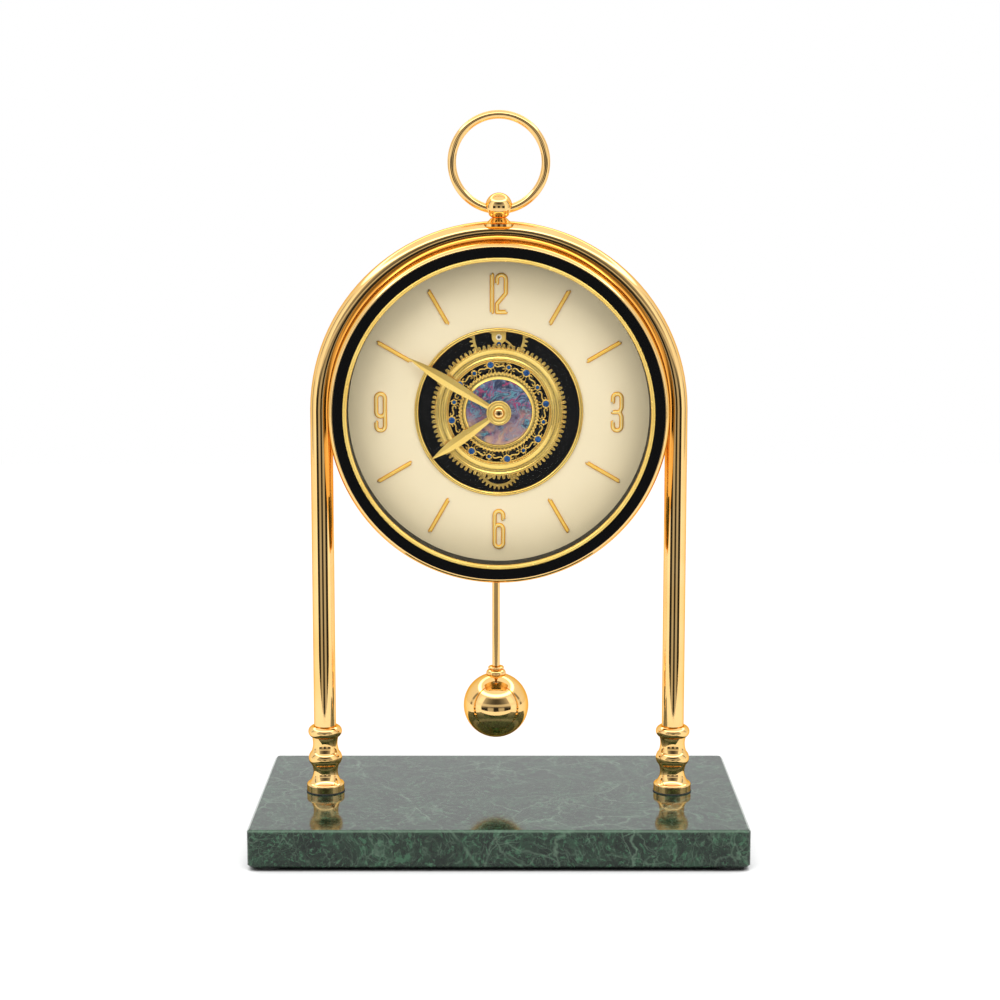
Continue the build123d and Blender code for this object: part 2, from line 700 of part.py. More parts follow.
# Gold eyelet round the opening
with BuildPart() as opening_rim:
    with BuildSketch(TURNING):
        with BuildLine():
            eyelet_r = OPENING_R + OPENING_RIM_WALL
            rim_z = DIAL_FACE + OPENING_RIM_H
            Polyline(
                (OPENING_R, rim_z - OPENING_RIM_H / 2),
                (OPENING_R, DIAL_BACK),
                (eyelet_r, DIAL_BACK),
                (eyelet_r, DIAL_FACE),
                (EYELET_R, DIAL_FACE),
                (EYELET_R, rim_z - OPENING_RIM_H / 2),
            )
            ThreePointArc(
                (EYELET_R, rim_z - OPENING_RIM_H / 2),
                ((OPENING_R + EYELET_R) / 2, rim_z),
                (OPENING_R, rim_z - OPENING_RIM_H / 2),
            )
        make_face()
    revolve(axis=CLOCK_AXIS)
keep(opening_rim, "opening_rim")

# Bevelled batons at the eight hours without a numeral
with BuildPart() as hour_batons:
    for hour in (1, 2, 4, 5, 7, 8, 10, 11):
        angle = 90 - 30 * hour
        with BuildSketch(FACE.offset(DIAL_FACE)):
            with Locations(polar(BATON_IN_R + BATON_LEN / 2, angle)):
                Rectangle(BATON_LEN, BATON_W, rotation=angle)
        extrude(amount=BATON_H)
    top_edges = hour_batons.faces().filter_by(Plane.XZ).group_by(Axis.Y)[0].edges()
    chamfer(top_edges, BATON_BEVEL)
keep(hour_batons, "hour_batons")

# Strokes of the applied numerals, drawn round the numeral's own centre
STROKE_X = (NUMERAL_WIDE - NUMERAL_STROKE) / 2
STROKE_Y = (NUMERAL_TALL - NUMERAL_STROKE) / 2
BOWL_Y = STROKE_Y - STROKE_X
HOOK_Y = NUMERAL_TALL / 4
WAIST_X = STROKE_X / 2
PAIR_X = (NUMERAL_STROKE + NUMERAL_SPACE) / 2


def line(start, end):
    """A straight stroke between two points."""
    return Line(start, end, mode=Mode.PRIVATE)


def bowl(x, y, way):
    """The half-round end of a numeral, open downwards or upwards."""
    top = (x, y + way * STROKE_X)
    return ThreePointArc((x - STROKE_X, y), top, (x + STROKE_X, y), mode=Mode.PRIVATE)


def twelve_strokes():
    bar_x = -PAIR_X - STROKE_X
    left_x = PAIR_X - STROKE_X
    right_x = PAIR_X + STROKE_X
    return [
        line((bar_x, -STROKE_Y), (bar_x, STROKE_Y)),
        line((left_x, HOOK_Y), (left_x, BOWL_Y)),
        bowl(PAIR_X, BOWL_Y, 1),
        line((right_x, BOWL_Y), (right_x, 0)),
        line((right_x, 0), (left_x, -HOOK_Y)),
        line((left_x, -HOOK_Y), (left_x, -STROKE_Y)),
        line((left_x, -STROKE_Y), (right_x, -STROKE_Y)),
    ]


def three_strokes():
    strokes = [line((-STROKE_X, 0), (WAIST_X, 0))]
    for way in (1, -1):
        strokes.append(line((-STROKE_X, way * HOOK_Y), (-STROKE_X, way * BOWL_Y)))
        strokes.append(bowl(0, way * BOWL_Y, way))
        strokes.append(line((STROKE_X, way * BOWL_Y), (STROKE_X, way * STROKE_X)))
        strokes.append(line((STROKE_X, way * STROKE_X), (WAIST_X, 0)))
    return strokes


def nine_strokes(way):
    loop_y = way * (STROKE_X - NUMERAL_STROKE)
    return [
        line((way * STROKE_X, -way * BOWL_Y), (way * STROKE_X, way * BOWL_Y)),
        bowl(0, way * BOWL_Y, way),
        line((-way * STROKE_X, way * BOWL_Y), (-way * STROKE_X, loop_y)),
        bowl(0, loop_y, -way),
        bowl(0, -way * BOWL_Y, -way),
        line((-way * STROKE_X, -way * BOWL_Y), (-way * STROKE_X, -way * HOOK_Y)),
    ]


def numeral_plane(hour):
    """The plane on the dial round the centre of an hour's numeral."""
    x, y = clock_polar(NUMERAL_R, 30 * hour)
    return Plane(origin=FACE.from_local_coords((x, y, DIAL_FACE)), x_dir=(1, 0, 0), z_dir=(0, -1, 0))


NUMERALS = (
    (12, twelve_strokes()),
    (3, three_strokes()),
    (6, nine_strokes(-1)),
    (9, nine_strokes(1)),
)
with BuildPart() as hour_numerals:
    for hour, strokes in NUMERALS:
        with BuildSketch(numeral_plane(hour)):
            for stroke in strokes:
                SlotArc(stroke, NUMERAL_STROKE)
        extrude(amount=NUMERAL_H)
    fronts = hour_numerals.faces().filter_by(Plane.XZ).group_by(Axis.Y)[0]
    chamfer(fronts.edges(), NUMERAL_BEVEL)
keep(hour_numerals, "hour_numerals")

# Black well behind the opening that carries the wheels and the movement
with BuildPart() as gear_well:
    with BuildSketch(TURNING):
        with BuildLine():
            well_out_r = WELL_R + WELL_WALL
            Polyline(
                (0, WELL_FACE),
                (WELL_R, WELL_FACE),
                (WELL_R, DIAL_BACK),
                (well_out_r + WELL_FLANGE, DIAL_BACK),
                (well_out_r + WELL_FLANGE, DIAL_BACK - WELL_WALL),
                (well_out_r, DIAL_BACK - WELL_WALL),
                (well_out_r, WELL_BACK),
                (0, WELL_BACK),
                close=True,
            )
        make_face()
    revolve(axis=CLOCK_AXIS)
    with BuildSketch(FACE.offset(WELL_FACE)):
        Circle(BUSH_R + FIT_CLEAR)
        with Locations((0, UPPER_DIST)):
            Circle(ARBOR_D / 2 + RUN_CLEAR)
        with Locations((0, -LOWER_DIST)):
            Circle(LOWER_STUD_D / 2 + FIT_CLEAR)
    extrude(amount=-WELL_FLOOR, mode=Mode.SUBTRACT)
keep(gear_well, "gear_well")

# Large toothed ring of the display wheel, with a hollow band between two lips
with BuildPart() as ring_gear:
    with BuildSketch(FACE.offset(RING_BACK)):
        with BuildLine():
            root_r = RING_MODULE * (RING_TEETH / 2 - DEDENDUM)
            Polyline(*peg_points(RING_TEETH, root_r, RING_TIP_R, RING_PEG_SHARE), close=True)
        make_face()
        Circle(ANNULUS_IN_R, mode=Mode.SUBTRACT)
    extrude(amount=RING_TOOTH_T)
    with BuildSketch(TURNING):
        with BuildLine():
            band_z = RING_BACK + RING_TOOTH_T
            inner_lip = (ANNULUS_IN_R + ANNULUS_LIP_W, RING_FACE)
            outer_lip = (ANNULUS_OUT_R - ANNULUS_LIP_W, RING_FACE)
            Polyline(
                inner_lip,
                (ANNULUS_IN_R + ANNULUS_BEVEL, RING_FACE),
                (ANNULUS_IN_R, RING_FACE - ANNULUS_BEVEL),
                (ANNULUS_IN_R, band_z),
                (ANNULUS_OUT_R, band_z),
                (ANNULUS_OUT_R, RING_FACE - ANNULUS_BEVEL),
                (ANNULUS_OUT_R - ANNULUS_BEVEL, RING_FACE),
                outer_lip,
            )
            cove_low = ((ANNULUS_IN_R + ANNULUS_OUT_R) / 2, RING_FACE - ANNULUS_COVE_H)
            ThreePointArc(outer_lip, cove_low, inner_lip)
        make_face()
    revolve(axis=CLOCK_AXIS)
keep(ring_gear, "ring_gear")

# Openwork of scrolls and jewel settings inside the toothed ring
LARGE_SET_R = LARGE_JEWEL_D / 2 + SETTING_WALL
SMALL_SET_R = SMALL_JEWEL_D / 2 + SETTING_WALL
HUB_R = INNER_RING_GEAR_R - INNER_RING_TOOTH_H
JEWEL_STEP = 360.0 / JEWEL_COUNT
LARGE_AT = 90 - JEWEL_TURN
SMALL_AT = LARGE_AT - JEWEL_STEP / 2


def scroll(start, middle, end):
    """An arc of the openwork through three points given as radius and angle."""
    return ThreePointArc(polar(*start), polar(*middle), polar(*end), mode=Mode.PRIVATE)


RIM_MID_R = FILIGREE_R - FILIGREE_RIM_W / 2
HUB_MID_R = HUB_R - SCROLL_W / 2
FIELD_R = (RIM_MID_R + HUB_MID_R) / 2


def scroll_arcs(large, small):
    """The scrolls round one large setting and the stem of the small one beside it."""
    stem_foot = (HUB_MID_R, small - STEM_LEAN)
    stem_head = (RIM_MID_R, small - STEM_LEAN)
    arcs = [scroll(stem_foot, (FIELD_R, small + STEM_LEAN), stem_head)]
    for toward in (-1, 1):
        turn = toward * JEWEL_STEP / 2
        outer_mid = (RIM_MID_R, large + SCROLL_RISE * turn)
        outer_end = (FIELD_R, large + SCROLL_END * turn)
        arcs.append(scroll((LARGE_JEWEL_R, large), outer_mid, outer_end))
        inner_start = (HUB_MID_R, large + CURL_START * turn)
        inner_mid = (FIELD_R, large + CURL_RISE * turn)
        inner_end = (HUB_MID_R, large + CURL_END * turn)
        arcs.append(scroll(inner_start, inner_mid, inner_end))
    return arcs


SCROLLS = []
for step in range(JEWEL_COUNT):
    SCROLLS += scroll_arcs(LARGE_AT - step * JEWEL_STEP, SMALL_AT - step * JEWEL_STEP)
with BuildPart() as filigree:
    with BuildSketch(FACE.offset(RING_BACK)):
        Circle(FILIGREE_R)
        Circle(FILIGREE_R - FILIGREE_RIM_W, mode=Mode.SUBTRACT)
        Circle(HUB_R)
        Circle(SLEEVE_R + FIT_CLEAR, mode=Mode.SUBTRACT)
        for arc in SCROLLS:
            SlotArc(arc, SCROLL_W)
        with PolarLocations(LARGE_JEWEL_R, JEWEL_COUNT, LARGE_AT):
            Circle(LARGE_SET_R)
        with PolarLocations(SMALL_JEWEL_R, JEWEL_COUNT, SMALL_AT):
            Circle(SMALL_SET_R)
    extrude(amount=FILIGREE_T)
    with BuildSketch(FACE.offset(FILIGREE_FACE)):
        with PolarLocations(LARGE_JEWEL_R, JEWEL_COUNT, LARGE_AT):
            Circle(LARGE_SET_R)
            Circle(LARGE_JEWEL_D / 2, mode=Mode.SUBTRACT)
        with PolarLocations(SMALL_JEWEL_R, JEWEL_COUNT, SMALL_AT):
            Circle(SMALL_SET_R)
            Circle(SMALL_JEWEL_D / 2, mode=Mode.SUBTRACT)
    extrude(amount=SETTING_H)
keep(filigree, "filigree")

# Blue jewels in their settings, each with a bevelled edge and a flat table
with BuildPart() as blue_jewels:
    with BuildSketch(FACE.offset(FILIGREE_FACE)):
        with PolarLocations(LARGE_JEWEL_R, JEWEL_COUNT, LARGE_AT):
            Circle(LARGE_JEWEL_D / 2 - FIT_CLEAR)
        with PolarLocations(SMALL_JEWEL_R, JEWEL_COUNT, SMALL_AT):
            Circle(SMALL_JEWEL_D / 2 - FIT_CLEAR)
    extrude(amount=JEWEL_H)
    tables = blue_jewels.faces().filter_by(Plane.XZ).group_by(Axis.Y)[0]
    chamfer(tables.edges(), JEWEL_H / 2)
keep(blue_jewels, "blue_jewels")

# Granulated ring round the shell disc
with BuildPart() as inner_ring:
    with BuildSketch(FACE.offset(FILIGREE_FACE)):
        with BuildLine():
            grains = peg_points(INNER_RING_GEAR_TEETH, HUB_R, INNER_RING_GEAR_R, INNER_RING_PEG_SHARE)
            Polyline(*grains, close=True)
        make_face()
        Circle(SHELL_R, mode=Mode.SUBTRACT)
    extrude(amount=INNER_RING_GEAR_T)
    top = inner_ring.faces().filter_by(Plane.XZ).sort_by(Axis.Y)[0]
    chamfer(top.inner_wires()[0].edges(), INNER_RING_BEVEL)
keep(inner_ring, "inner_ring")

# Iridescent shell disc
with BuildPart() as shell_disc:
    with BuildSketch(FACE.offset(FILIGREE_FACE)):
        Circle(SHELL_R - FIT_CLEAR)
        Circle(SLEEVE_R + FIT_CLEAR, mode=Mode.SUBTRACT)
    extrude(amount=SHELL_T)
keep(shell_disc, "shell_disc")

# Sleeve that carries the display wheel and turns in the movement's bush
with BuildPart() as display_sleeve:
    with BuildSketch(TURNING):
        with BuildLine():
            sleeve_front = FILIGREE_FACE + SHELL_T
            Polyline(
                (SLEEVE_IN_R, sleeve_front),
                (SLEEVE_R, sleeve_front),
                (SLEEVE_R, RING_BACK),
                (SLEEVE_FLANGE_R, RING_BACK),
                (SLEEVE_FLANGE_R, RING_BACK - COCK_T),
                (SLEEVE_R, RING_BACK - COCK_T),
                (SLEEVE_R, SLEEVE_BACK),
                (SLEEVE_IN_R, SLEEVE_BACK),
                close=True,
            )
        make_face()
    revolve(axis=CLOCK_AXIS)
keep(display_sleeve, "display_sleeve")

# Two drive gears on the sleeve, each with a gap facing the wheel that it drives
for name, teeth, level, facing in (
    ("upper_drive_gear", UPPER_DRIVE_TEETH, UPPER_FACE, 90),
    ("lower_drive_gear", LOWER_DRIVE_TEETH, LOWER_FACE, 270),
):
    with BuildPart() as drive_gear:
        with BuildSketch(FACE.offset(level)):
            with BuildLine():
                Polyline(*gear_points(teeth, MODULE, facing + 180 / teeth), close=True)
            make_face()
            Circle(MODULE * (teeth / 2 - DEDENDUM) - WHEEL_RIM_W, mode=Mode.SUBTRACT)
            Circle(SLEEVE_FLANGE_R)
            with PolarLocations(0, DRIVE_SPOKES, 90):
                with Locations((MODULE * teeth / 4, 0)):
                    Rectangle(MODULE * (teeth / 2 - DEDENDUM) - WHEEL_RIM_W / 2, 2 * SPOKE_W)
            Circle(SLEEVE_R + FIT_CLEAR, mode=Mode.SUBTRACT)
        extrude(amount=-GEAR_T)
    keep(drive_gear, name)

# Upper and lower display wheels with curved spokes, each with a tooth facing its drive gear
for name, teeth, level, height, facing, bore_r in (
    ("upper_wheel", UPPER_TEETH, UPPER_FACE, UPPER_DIST, 270, ARBOR_D / 2 + FIT_CLEAR),
    ("lower_wheel", LOWER_TEETH, LOWER_FACE, -LOWER_DIST, 90, LOWER_STUD_D / 2 + RUN_CLEAR),
):
    wheel_centre = FACE.from_local_coords((0, height, level))
    rim_r = MODULE * (teeth / 2 - DEDENDUM) - WHEEL_RIM_W
    spokes = []
    for spoke in range(WHEEL_SPOKES):
        spoke_at = (spoke + 0.5) * 360 / WHEEL_SPOKES
        bend = (rim_r / 2, spoke_at + SPOKE_BEND)
        spokes.append(scroll((WHEEL_HUB_R / 2, spoke_at), bend, (rim_r, spoke_at)))
    with BuildPart() as wheel:
        with BuildSketch(Plane(origin=wheel_centre, x_dir=(1, 0, 0), z_dir=(0, -1, 0))):
            with BuildLine():
                Polyline(*gear_points(teeth, MODULE, facing), close=True)
            make_face()
            Circle(rim_r, mode=Mode.SUBTRACT)
            Circle(WHEEL_HUB_R)
            for spoke in spokes:
                SlotArc(spoke, SPOKE_W)
            Circle(bore_r, mode=Mode.SUBTRACT)
        extrude(amount=-GEAR_T)
    keep(wheel, name)

# Arbor of the upper wheel, from the cock's jewel to the floor of the well
with BuildPart() as upper_arbor:
    with BuildSketch(Plane(origin=FACE.from_local_coords((0, UPPER_DIST, COCK_FACE)), z_dir=(0, -1, 0))):
        Circle(ARBOR_D / 2)
    extrude(amount=WELL_BACK - COCK_FACE + FIT_CLEAR)
keep(upper_arbor, "upper_arbor")

# Cock that holds the upper wheel's front pivot, standing on a foot outside the wheel
with BuildPart() as upper_cock:
    tongue_y = UPPER_DIST - COCK_W / 2
    with BuildSketch(FACE.offset(COCK_FACE)):
        with Locations((0, (UPPER_DIST + COCK_FOOT_R) / 2)):
            SlotCenterToCenter(COCK_FOOT_R - UPPER_DIST, COCK_W, rotation=90)
        with Locations((0, tongue_y)):
            Circle(CAP_JEWEL_D / 2 + SETTING_WALL)
        with Locations((0, UPPER_DIST)):
            Circle(COCK_JEWEL_D / 2 + FIT_CLEAR, mode=Mode.SUBTRACT)
        with Locations((0, tongue_y)):
            Circle(CAP_JEWEL_D / 2 + FIT_CLEAR, mode=Mode.SUBTRACT)
    extrude(amount=-COCK_T)
    with BuildSketch(FACE.offset(COCK_FACE - COCK_T)):
        with Locations((0, COCK_FOOT_R)):
            Circle(COCK_FOOT_D / 2)
    extrude(amount=WELL_FACE - COCK_FACE + COCK_T)
keep(upper_cock, "upper_cock")

with BuildPart() as cock_jewel:
    with BuildSketch(FACE.offset(COCK_FACE)):
        with Locations((0, UPPER_DIST)):
            Circle(COCK_JEWEL_D / 2)
            Circle(ARBOR_D / 2 + RUN_CLEAR, mode=Mode.SUBTRACT)
    extrude(amount=-COCK_T)
keep(cock_jewel, "cock_jewel")

with BuildPart() as cap_jewel:
    with BuildSketch(FACE.offset(COCK_FACE - COCK_T)):
        with Locations((0, UPPER_DIST - COCK_W / 2)):
            Circle(CAP_JEWEL_D / 2)
    extrude(amount=COCK_T)
    chamfer(cap_jewel.faces().sort_by(Axis.Y)[0].edges(), CAP_JEWEL_H)
keep(cap_jewel, "cap_jewel")

# Headed stud on which the lower wheel turns
with BuildPart() as lower_stud:
    stud_centre = FACE.from_local_coords((0, -LOWER_DIST, LOWER_FACE + AIR_GAP / 2))
    with BuildSketch(Plane(origin=stud_centre, z_dir=(0, -1, 0))):
        Circle(LOWER_STUD_D / 2)
    extrude(amount=WELL_BACK - LOWER_FACE - AIR_GAP / 2)
    with BuildSketch(Plane(origin=stud_centre, z_dir=(0, -1, 0))):
        Circle(LOWER_STUD_HEAD_D / 2)
    extrude(amount=LOWER_STUD_HEAD_H)
keep(lower_stud, "lower_stud")

# Threaded bush and hexagon nut that fix the movement to the well
with BuildPart() as movement_bush:
    with BuildSketch(FACE.offset(NUT_FACE)):
        Circle(BUSH_R)
        Circle(BUSH_IN_R, mode=Mode.SUBTRACT)
    extrude(amount=WELL_BACK - NUT_FACE)
keep(movement_bush, "movement_bush")

with BuildPart() as bush_nut:
    with BuildSketch(FACE.offset(NUT_FACE)):
        RegularPolygon(NUT_AF / 2, 6, major_radius=False)
        Circle(BUSH_R + FIT_CLEAR, mode=Mode.SUBTRACT)
    extrude(amount=-NUT_H)
keep(bush_nut, "bush_nut")

# Minute arbor, hour pipe and the two hands
with BuildPart() as minute_arbor:
    with BuildSketch(FACE.offset(ARBOR_BACK)):
        Circle(MINUTE_R)
    extrude(amount=MINUTE_FACE + CAP_ROOT - ARBOR_BACK)
keep(minute_arbor, "minute_arbor")

with BuildPart() as hour_pipe:
    with BuildSketch(FACE.offset(PIPE_BACK)):
        Circle(PIPE_R)
        Circle(PIPE_IN_R, mode=Mode.SUBTRACT)
    extrude(amount=HOUR_FACE - PIPE_BACK)
keep(hour_pipe, "hour_pipe")


def leaf_section(hand_plane, distance, width):
    """The ridged section of a leaf hand at a distance from the clock's axis."""
    centre = hand_plane.from_local_coords((distance, 0, 0))
    plane = Plane(origin=centre, x_dir=hand_plane.y_dir, z_dir=hand_plane.x_dir)
    with BuildSketch(plane) as section:
        with BuildLine():
            Polyline(
                (-width / 2, 0),
                (width / 2, 0),
                (width / 2, HAND_EDGE),
                (0, HAND_EDGE + (HAND_RIDGE - HAND_EDGE) * width / HAND_W),
                (-width / 2, HAND_EDGE),
                close=True,
            )
        make_face()
    return section.sketch


LEAF_SHAPE = ((0.09, 0.54), (0.34, 0.8), (0.62, 1.0), (0.83, 0.62), (1.0, 0.06))
HOUR_ANGLE = (360 * SHOWN_HOUR + MINUTE_ANGLE) / 12
for name, clock_angle, length, level, boss_r, bore_r in (
    ("minute_hand", MINUTE_ANGLE, MINUTE_LEN, MINUTE_FACE, MINUTE_BOSS_R, MINUTE_R + FIT_CLEAR),
    ("hour_hand", HOUR_ANGLE, HOUR_LEN, HOUR_FACE, HOUR_BOSS_R, PIPE_R + FIT_CLEAR),
):
    along_x, along_z = clock_polar(1, clock_angle)
    hand_plane = Plane(
        origin=FACE.from_local_coords((0, 0, level - HAND_BOSS_T)),
        x_dir=(along_x, 0, along_z),
        z_dir=(0, -1, 0),
    )
    leaf_sections = [leaf_section(hand_plane, share * length, wide * HAND_W) for share, wide in LEAF_SHAPE]
    with BuildPart() as hand:
        loft(leaf_sections)
        with BuildSketch(TURNING):
            with BuildLine():
                land = (CAP_D / 2 + BOSS_LAND, level)
                rim = (boss_r - 2 * BOSS_ROUND, level)
                dish_low = ((land[0] + rim[0]) / 2, level - BOSS_DISH)
                ThreePointArc(land, dish_low, rim)
                Line(rim, (boss_r - BOSS_ROUND, level))
                RadiusArc((boss_r - BOSS_ROUND, level), (boss_r, level - BOSS_ROUND), BOSS_ROUND)
                Polyline(
                    (boss_r, level - BOSS_ROUND),
                    (boss_r, level - HAND_BOSS_T),
                    (bore_r, level - HAND_BOSS_T),
                    (bore_r, level),
                    land,
                )
            make_face()
        revolve(axis=CLOCK_AXIS)
    keep(hand, name)

# Domed cap nut on the minute arbor
with BuildPart() as hand_cap:
    with BuildSketch(FACE.offset(MINUTE_FACE)):
        Circle(CAP_D / 2)
    extrude(amount=CAP_H)
    fillet(hand_cap.faces().sort_by(Axis.Y)[0].edges(), CAP_ROUND * CAP_H)
    with BuildSketch(FACE.offset(MINUTE_FACE)):
        Circle(MINUTE_R + FIT_CLEAR)
    extrude(amount=CAP_ROOT + FIT_CLEAR, mode=Mode.SUBTRACT)
keep(hand_cap, "hand_cap")

# Moulded housing of the movement with a bay for the battery
with BuildPart() as movement_housing:
    with BuildSketch(FACE.offset(WELL_BACK)):
        RectangleRounded(MOVEMENT_W, MOVEMENT_H, MOVEMENT_CORNER)
    extrude(amount=-MOVEMENT_D)
    back_edges = movement_housing.faces().sort_by(Axis.Y)[-1].edges()
    chamfer(back_edges, AIR_GAP)
    bay_len = BATTERY_LEN + BATTERY_NUB_H + 2 * CONTACT_T + AIR_GAP
    with BuildSketch(FACE.offset(MOVEMENT_BACK)):
        with Locations((BATTERY_X, 0)):
            Rectangle(BATTERY_D + 2 * AIR_GAP, bay_len)
    extrude(amount=BATTERY_D + 2 * AIR_GAP, mode=Mode.SUBTRACT)
    for level, radius in ((SLEEVE_BACK, BUSH_IN_R), (PIPE_BACK, SLEEVE_IN_R), (ARBOR_BACK, PIPE_IN_R)):
        with BuildSketch(FACE.offset(WELL_BACK)):
            Circle(radius)
        extrude(amount=level - AIR_GAP - WELL_BACK, mode=Mode.SUBTRACT)
    with BuildSketch(FACE.offset(MOVEMENT_BACK)):
        with Locations((KNOB_X, KNOB_Z)):
            Circle(KNOB_SHAFT_D / 2 + RUN_CLEAR)
    extrude(amount=KNOB_SHAFT_LEN + AIR_GAP, mode=Mode.SUBTRACT)
keep(movement_housing, "movement_housing")

# Round cell and the two spring contacts of its bay
with BuildPart() as battery:
    cell_low = CENTRE_Z - (BATTERY_LEN + BATTERY_NUB_H) / 2
    cell_y = -BATTERY_FRONT
    with BuildSketch(Plane((BATTERY_X, cell_y, cell_low))):
        Circle(BATTERY_R)
    extrude(amount=BATTERY_LEN)
    chamfer(battery.edges().filter_by(GeomType.CIRCLE), AIR_GAP)
    with BuildSketch(Plane((BATTERY_X, cell_y, cell_low + BATTERY_LEN))):
        Circle(BATTERY_NUB_D / 2)
    extrude(amount=BATTERY_NUB_H)
keep(battery, "battery")

with BuildPart() as battery_contacts:
    bay_half = (BATTERY_LEN + BATTERY_NUB_H + AIR_GAP) / 2
    for way in (-1, 1):
        with BuildSketch(Plane((BATTERY_X, -BATTERY_FRONT, CENTRE_Z + way * bay_half), z_dir=(0, 0, way))):
            Rectangle(CONTACT_W, CONTACT_W)
        extrude(amount=CONTACT_T)
keep(battery_contacts, "battery_contacts")

# Fluted setting knob on its shaft
with BuildPart() as setting_knob:
    knob_front = MOVEMENT_BACK - KNOB_LIFT
    with BuildSketch(FACE.offset(knob_front)):
        with Locations((KNOB_X, KNOB_Z)):
            Circle(KNOB_D / 2)
            with PolarLocations(KNOB_D / 2, KNOB_FLUTES):
                Circle(KNOB_FLUTE_D / 2, mode=Mode.SUBTRACT)
    extrude(amount=-KNOB_T)
    with BuildSketch(FACE.offset(knob_front)):
        with Locations((KNOB_X, KNOB_Z)):
            Circle(KNOB_SHAFT_D / 2)
    extrude(amount=KNOB_LIFT + KNOB_SHAFT_LEN)
keep(setting_knob, "setting_knob")

# Bracket and headed pin on the movement's back from which the pendulum hangs
PIVOT_PLANE = Plane(origin=(PENDULUM_X, 0, PIVOT_Z), x_dir=(1, 0, 0), z_dir=(0, -1, 0))
BRACKET_BACK = MOVEMENT_BACK - BRACKET_T
HOOK_BACK = -PENDULUM_Y - HOOK_T / 2
with BuildPart() as pendulum_bracket:
    with BuildSketch(PIVOT_PLANE.offset(MOVEMENT_BACK)):
        RectangleRounded(BRACKET_W, BRACKET_H, PIVOT_R)
        Circle(PIVOT_R + FIT_CLEAR, mode=Mode.SUBTRACT)
    extrude(amount=-BRACKET_T)
keep(pendulum_bracket, "pendulum_bracket")

with BuildPart() as pivot_pin:
    with BuildSketch(PIVOT_PLANE.offset(MOVEMENT_BACK)):
        Circle(PIVOT_R)
    extrude(amount=HOOK_BACK - AIR_GAP - PIVOT_HEAD_T - MOVEMENT_BACK)
    with BuildSketch(PIVOT_PLANE.offset(HOOK_BACK - AIR_GAP)):
        Circle(PIVOT_HEAD_D / 2)
    extrude(amount=-PIVOT_HEAD_T)
keep(pivot_pin, "pivot_pin")

# Pendulum: eye and ferrule, rod, pommel and ball bob
FERRULE_TOP = PIVOT_Z - FERRULE_DROP
FERRULE_LOW = FERRULE_TOP - FERRULE_H
ROD_TOP = FERRULE_LOW + ROD_GRIP
ROD_LOW = BOB_Z + BOB_R - BOB_SOCKET
POMMEL_LOW = BOB_Z + sqrt(BOB_R ** 2 - (POMMEL_NECK_D / 2) ** 2) - POMMEL_SINK
POMMEL_TOP = POMMEL_LOW + POMMEL_H
with BuildPart() as pendulum_eye:
    with BuildSketch(PIVOT_PLANE.offset(-PENDULUM_Y - HOOK_T / 2)):
        Circle(HOOK_R)
        with Locations((0, -(FERRULE_DROP + FERRULE_H / 2) / 2)):
            Rectangle(FERRULE_D - 2 * SLOT_GAP, FERRULE_DROP + FERRULE_H / 2)
    extrude(amount=HOOK_T)
    with BuildSketch(Plane((PENDULUM_X, PENDULUM_Y, FERRULE_LOW))):
        Circle(FERRULE_D / 2)
    extrude(amount=FERRULE_H)
    with BuildSketch(PIVOT_PLANE.offset(-PENDULUM_Y - HOOK_T / 2)):
        Circle(PIVOT_R + RUN_CLEAR)
    extrude(amount=HOOK_T, mode=Mode.SUBTRACT)
    with BuildSketch(Plane((PENDULUM_X, PENDULUM_Y, FERRULE_LOW))):
        Circle(ROD_R + FIT_CLEAR)
    extrude(amount=ROD_GRIP, mode=Mode.SUBTRACT)
keep(pendulum_eye, "pendulum_eye")

with BuildPart() as pendulum_rod:
    with BuildSketch(Plane((PENDULUM_X, PENDULUM_Y, ROD_LOW))):
        Circle(ROD_R)
    extrude(amount=ROD_TOP - ROD_LOW)
keep(pendulum_rod, "pendulum_rod")

with BuildPart() as pendulum_pommel:
    pommel_plane = Plane(origin=(PENDULUM_X, PENDULUM_Y, 0), x_dir=(1, 0, 0), z_dir=(0, -1, 0))
    with BuildSketch(pommel_plane):
        with BuildLine():
            bore = ROD_R + FIT_CLEAR
            neck = POMMEL_NECK_D / 2
            ring_top = POMMEL_TOP + POMMEL_RING_H
            Polyline((neck, POMMEL_LOW), (bore, POMMEL_LOW), (bore, ring_top), (neck, ring_top))
            ThreePointArc(
                (neck, ring_top),
                (POMMEL_RING_D / 2, POMMEL_TOP + POMMEL_RING_H / 2),
                (neck, POMMEL_TOP),
            )
            ThreePointArc(
                (neck, POMMEL_TOP),
                (POMMEL_D / 2, POMMEL_LOW + POMMEL_H / 2),
                (neck, POMMEL_LOW),
            )
        make_face()
    revolve(axis=Axis((PENDULUM_X, PENDULUM_Y, 0), (0, 0, 1)))
    with Locations((PENDULUM_X, PENDULUM_Y, BOB_Z)):
        Sphere(BOB_R + FIT_CLEAR, mode=Mode.SUBTRACT)
keep(pendulum_pommel, "pendulum_pommel")

with BuildPart() as pendulum_bob:
    with Locations((PENDULUM_X, PENDULUM_Y, BOB_Z)):
        Sphere(BOB_R)
    with BuildSketch(Plane((PENDULUM_X, PENDULUM_Y, ROD_LOW))):
        Circle(ROD_R + FIT_CLEAR)
    extrude(amount=BOB_R, mode=Mode.SUBTRACT)
keep(pendulum_bob, "pendulum_bob")

# Rear cover with a window for the battery and the knob, and its screws
with BuildPart() as rear_cover:
    with BuildSketch(FACE.offset(COVER_FACE)):
        Circle(COVER_R)
        RectangleRounded(WINDOW_W, WINDOW_H, WINDOW_CORNER, mode=Mode.SUBTRACT)
        with PolarLocations(REAR_SCREW_CIRCLE, REAR_SCREWS, 45):
            Circle(REAR_SCREW_D / 2 + FIT_CLEAR, mode=Mode.SUBTRACT)
    extrude(amount=-COVER_T)
keep(rear_cover, "rear_cover")

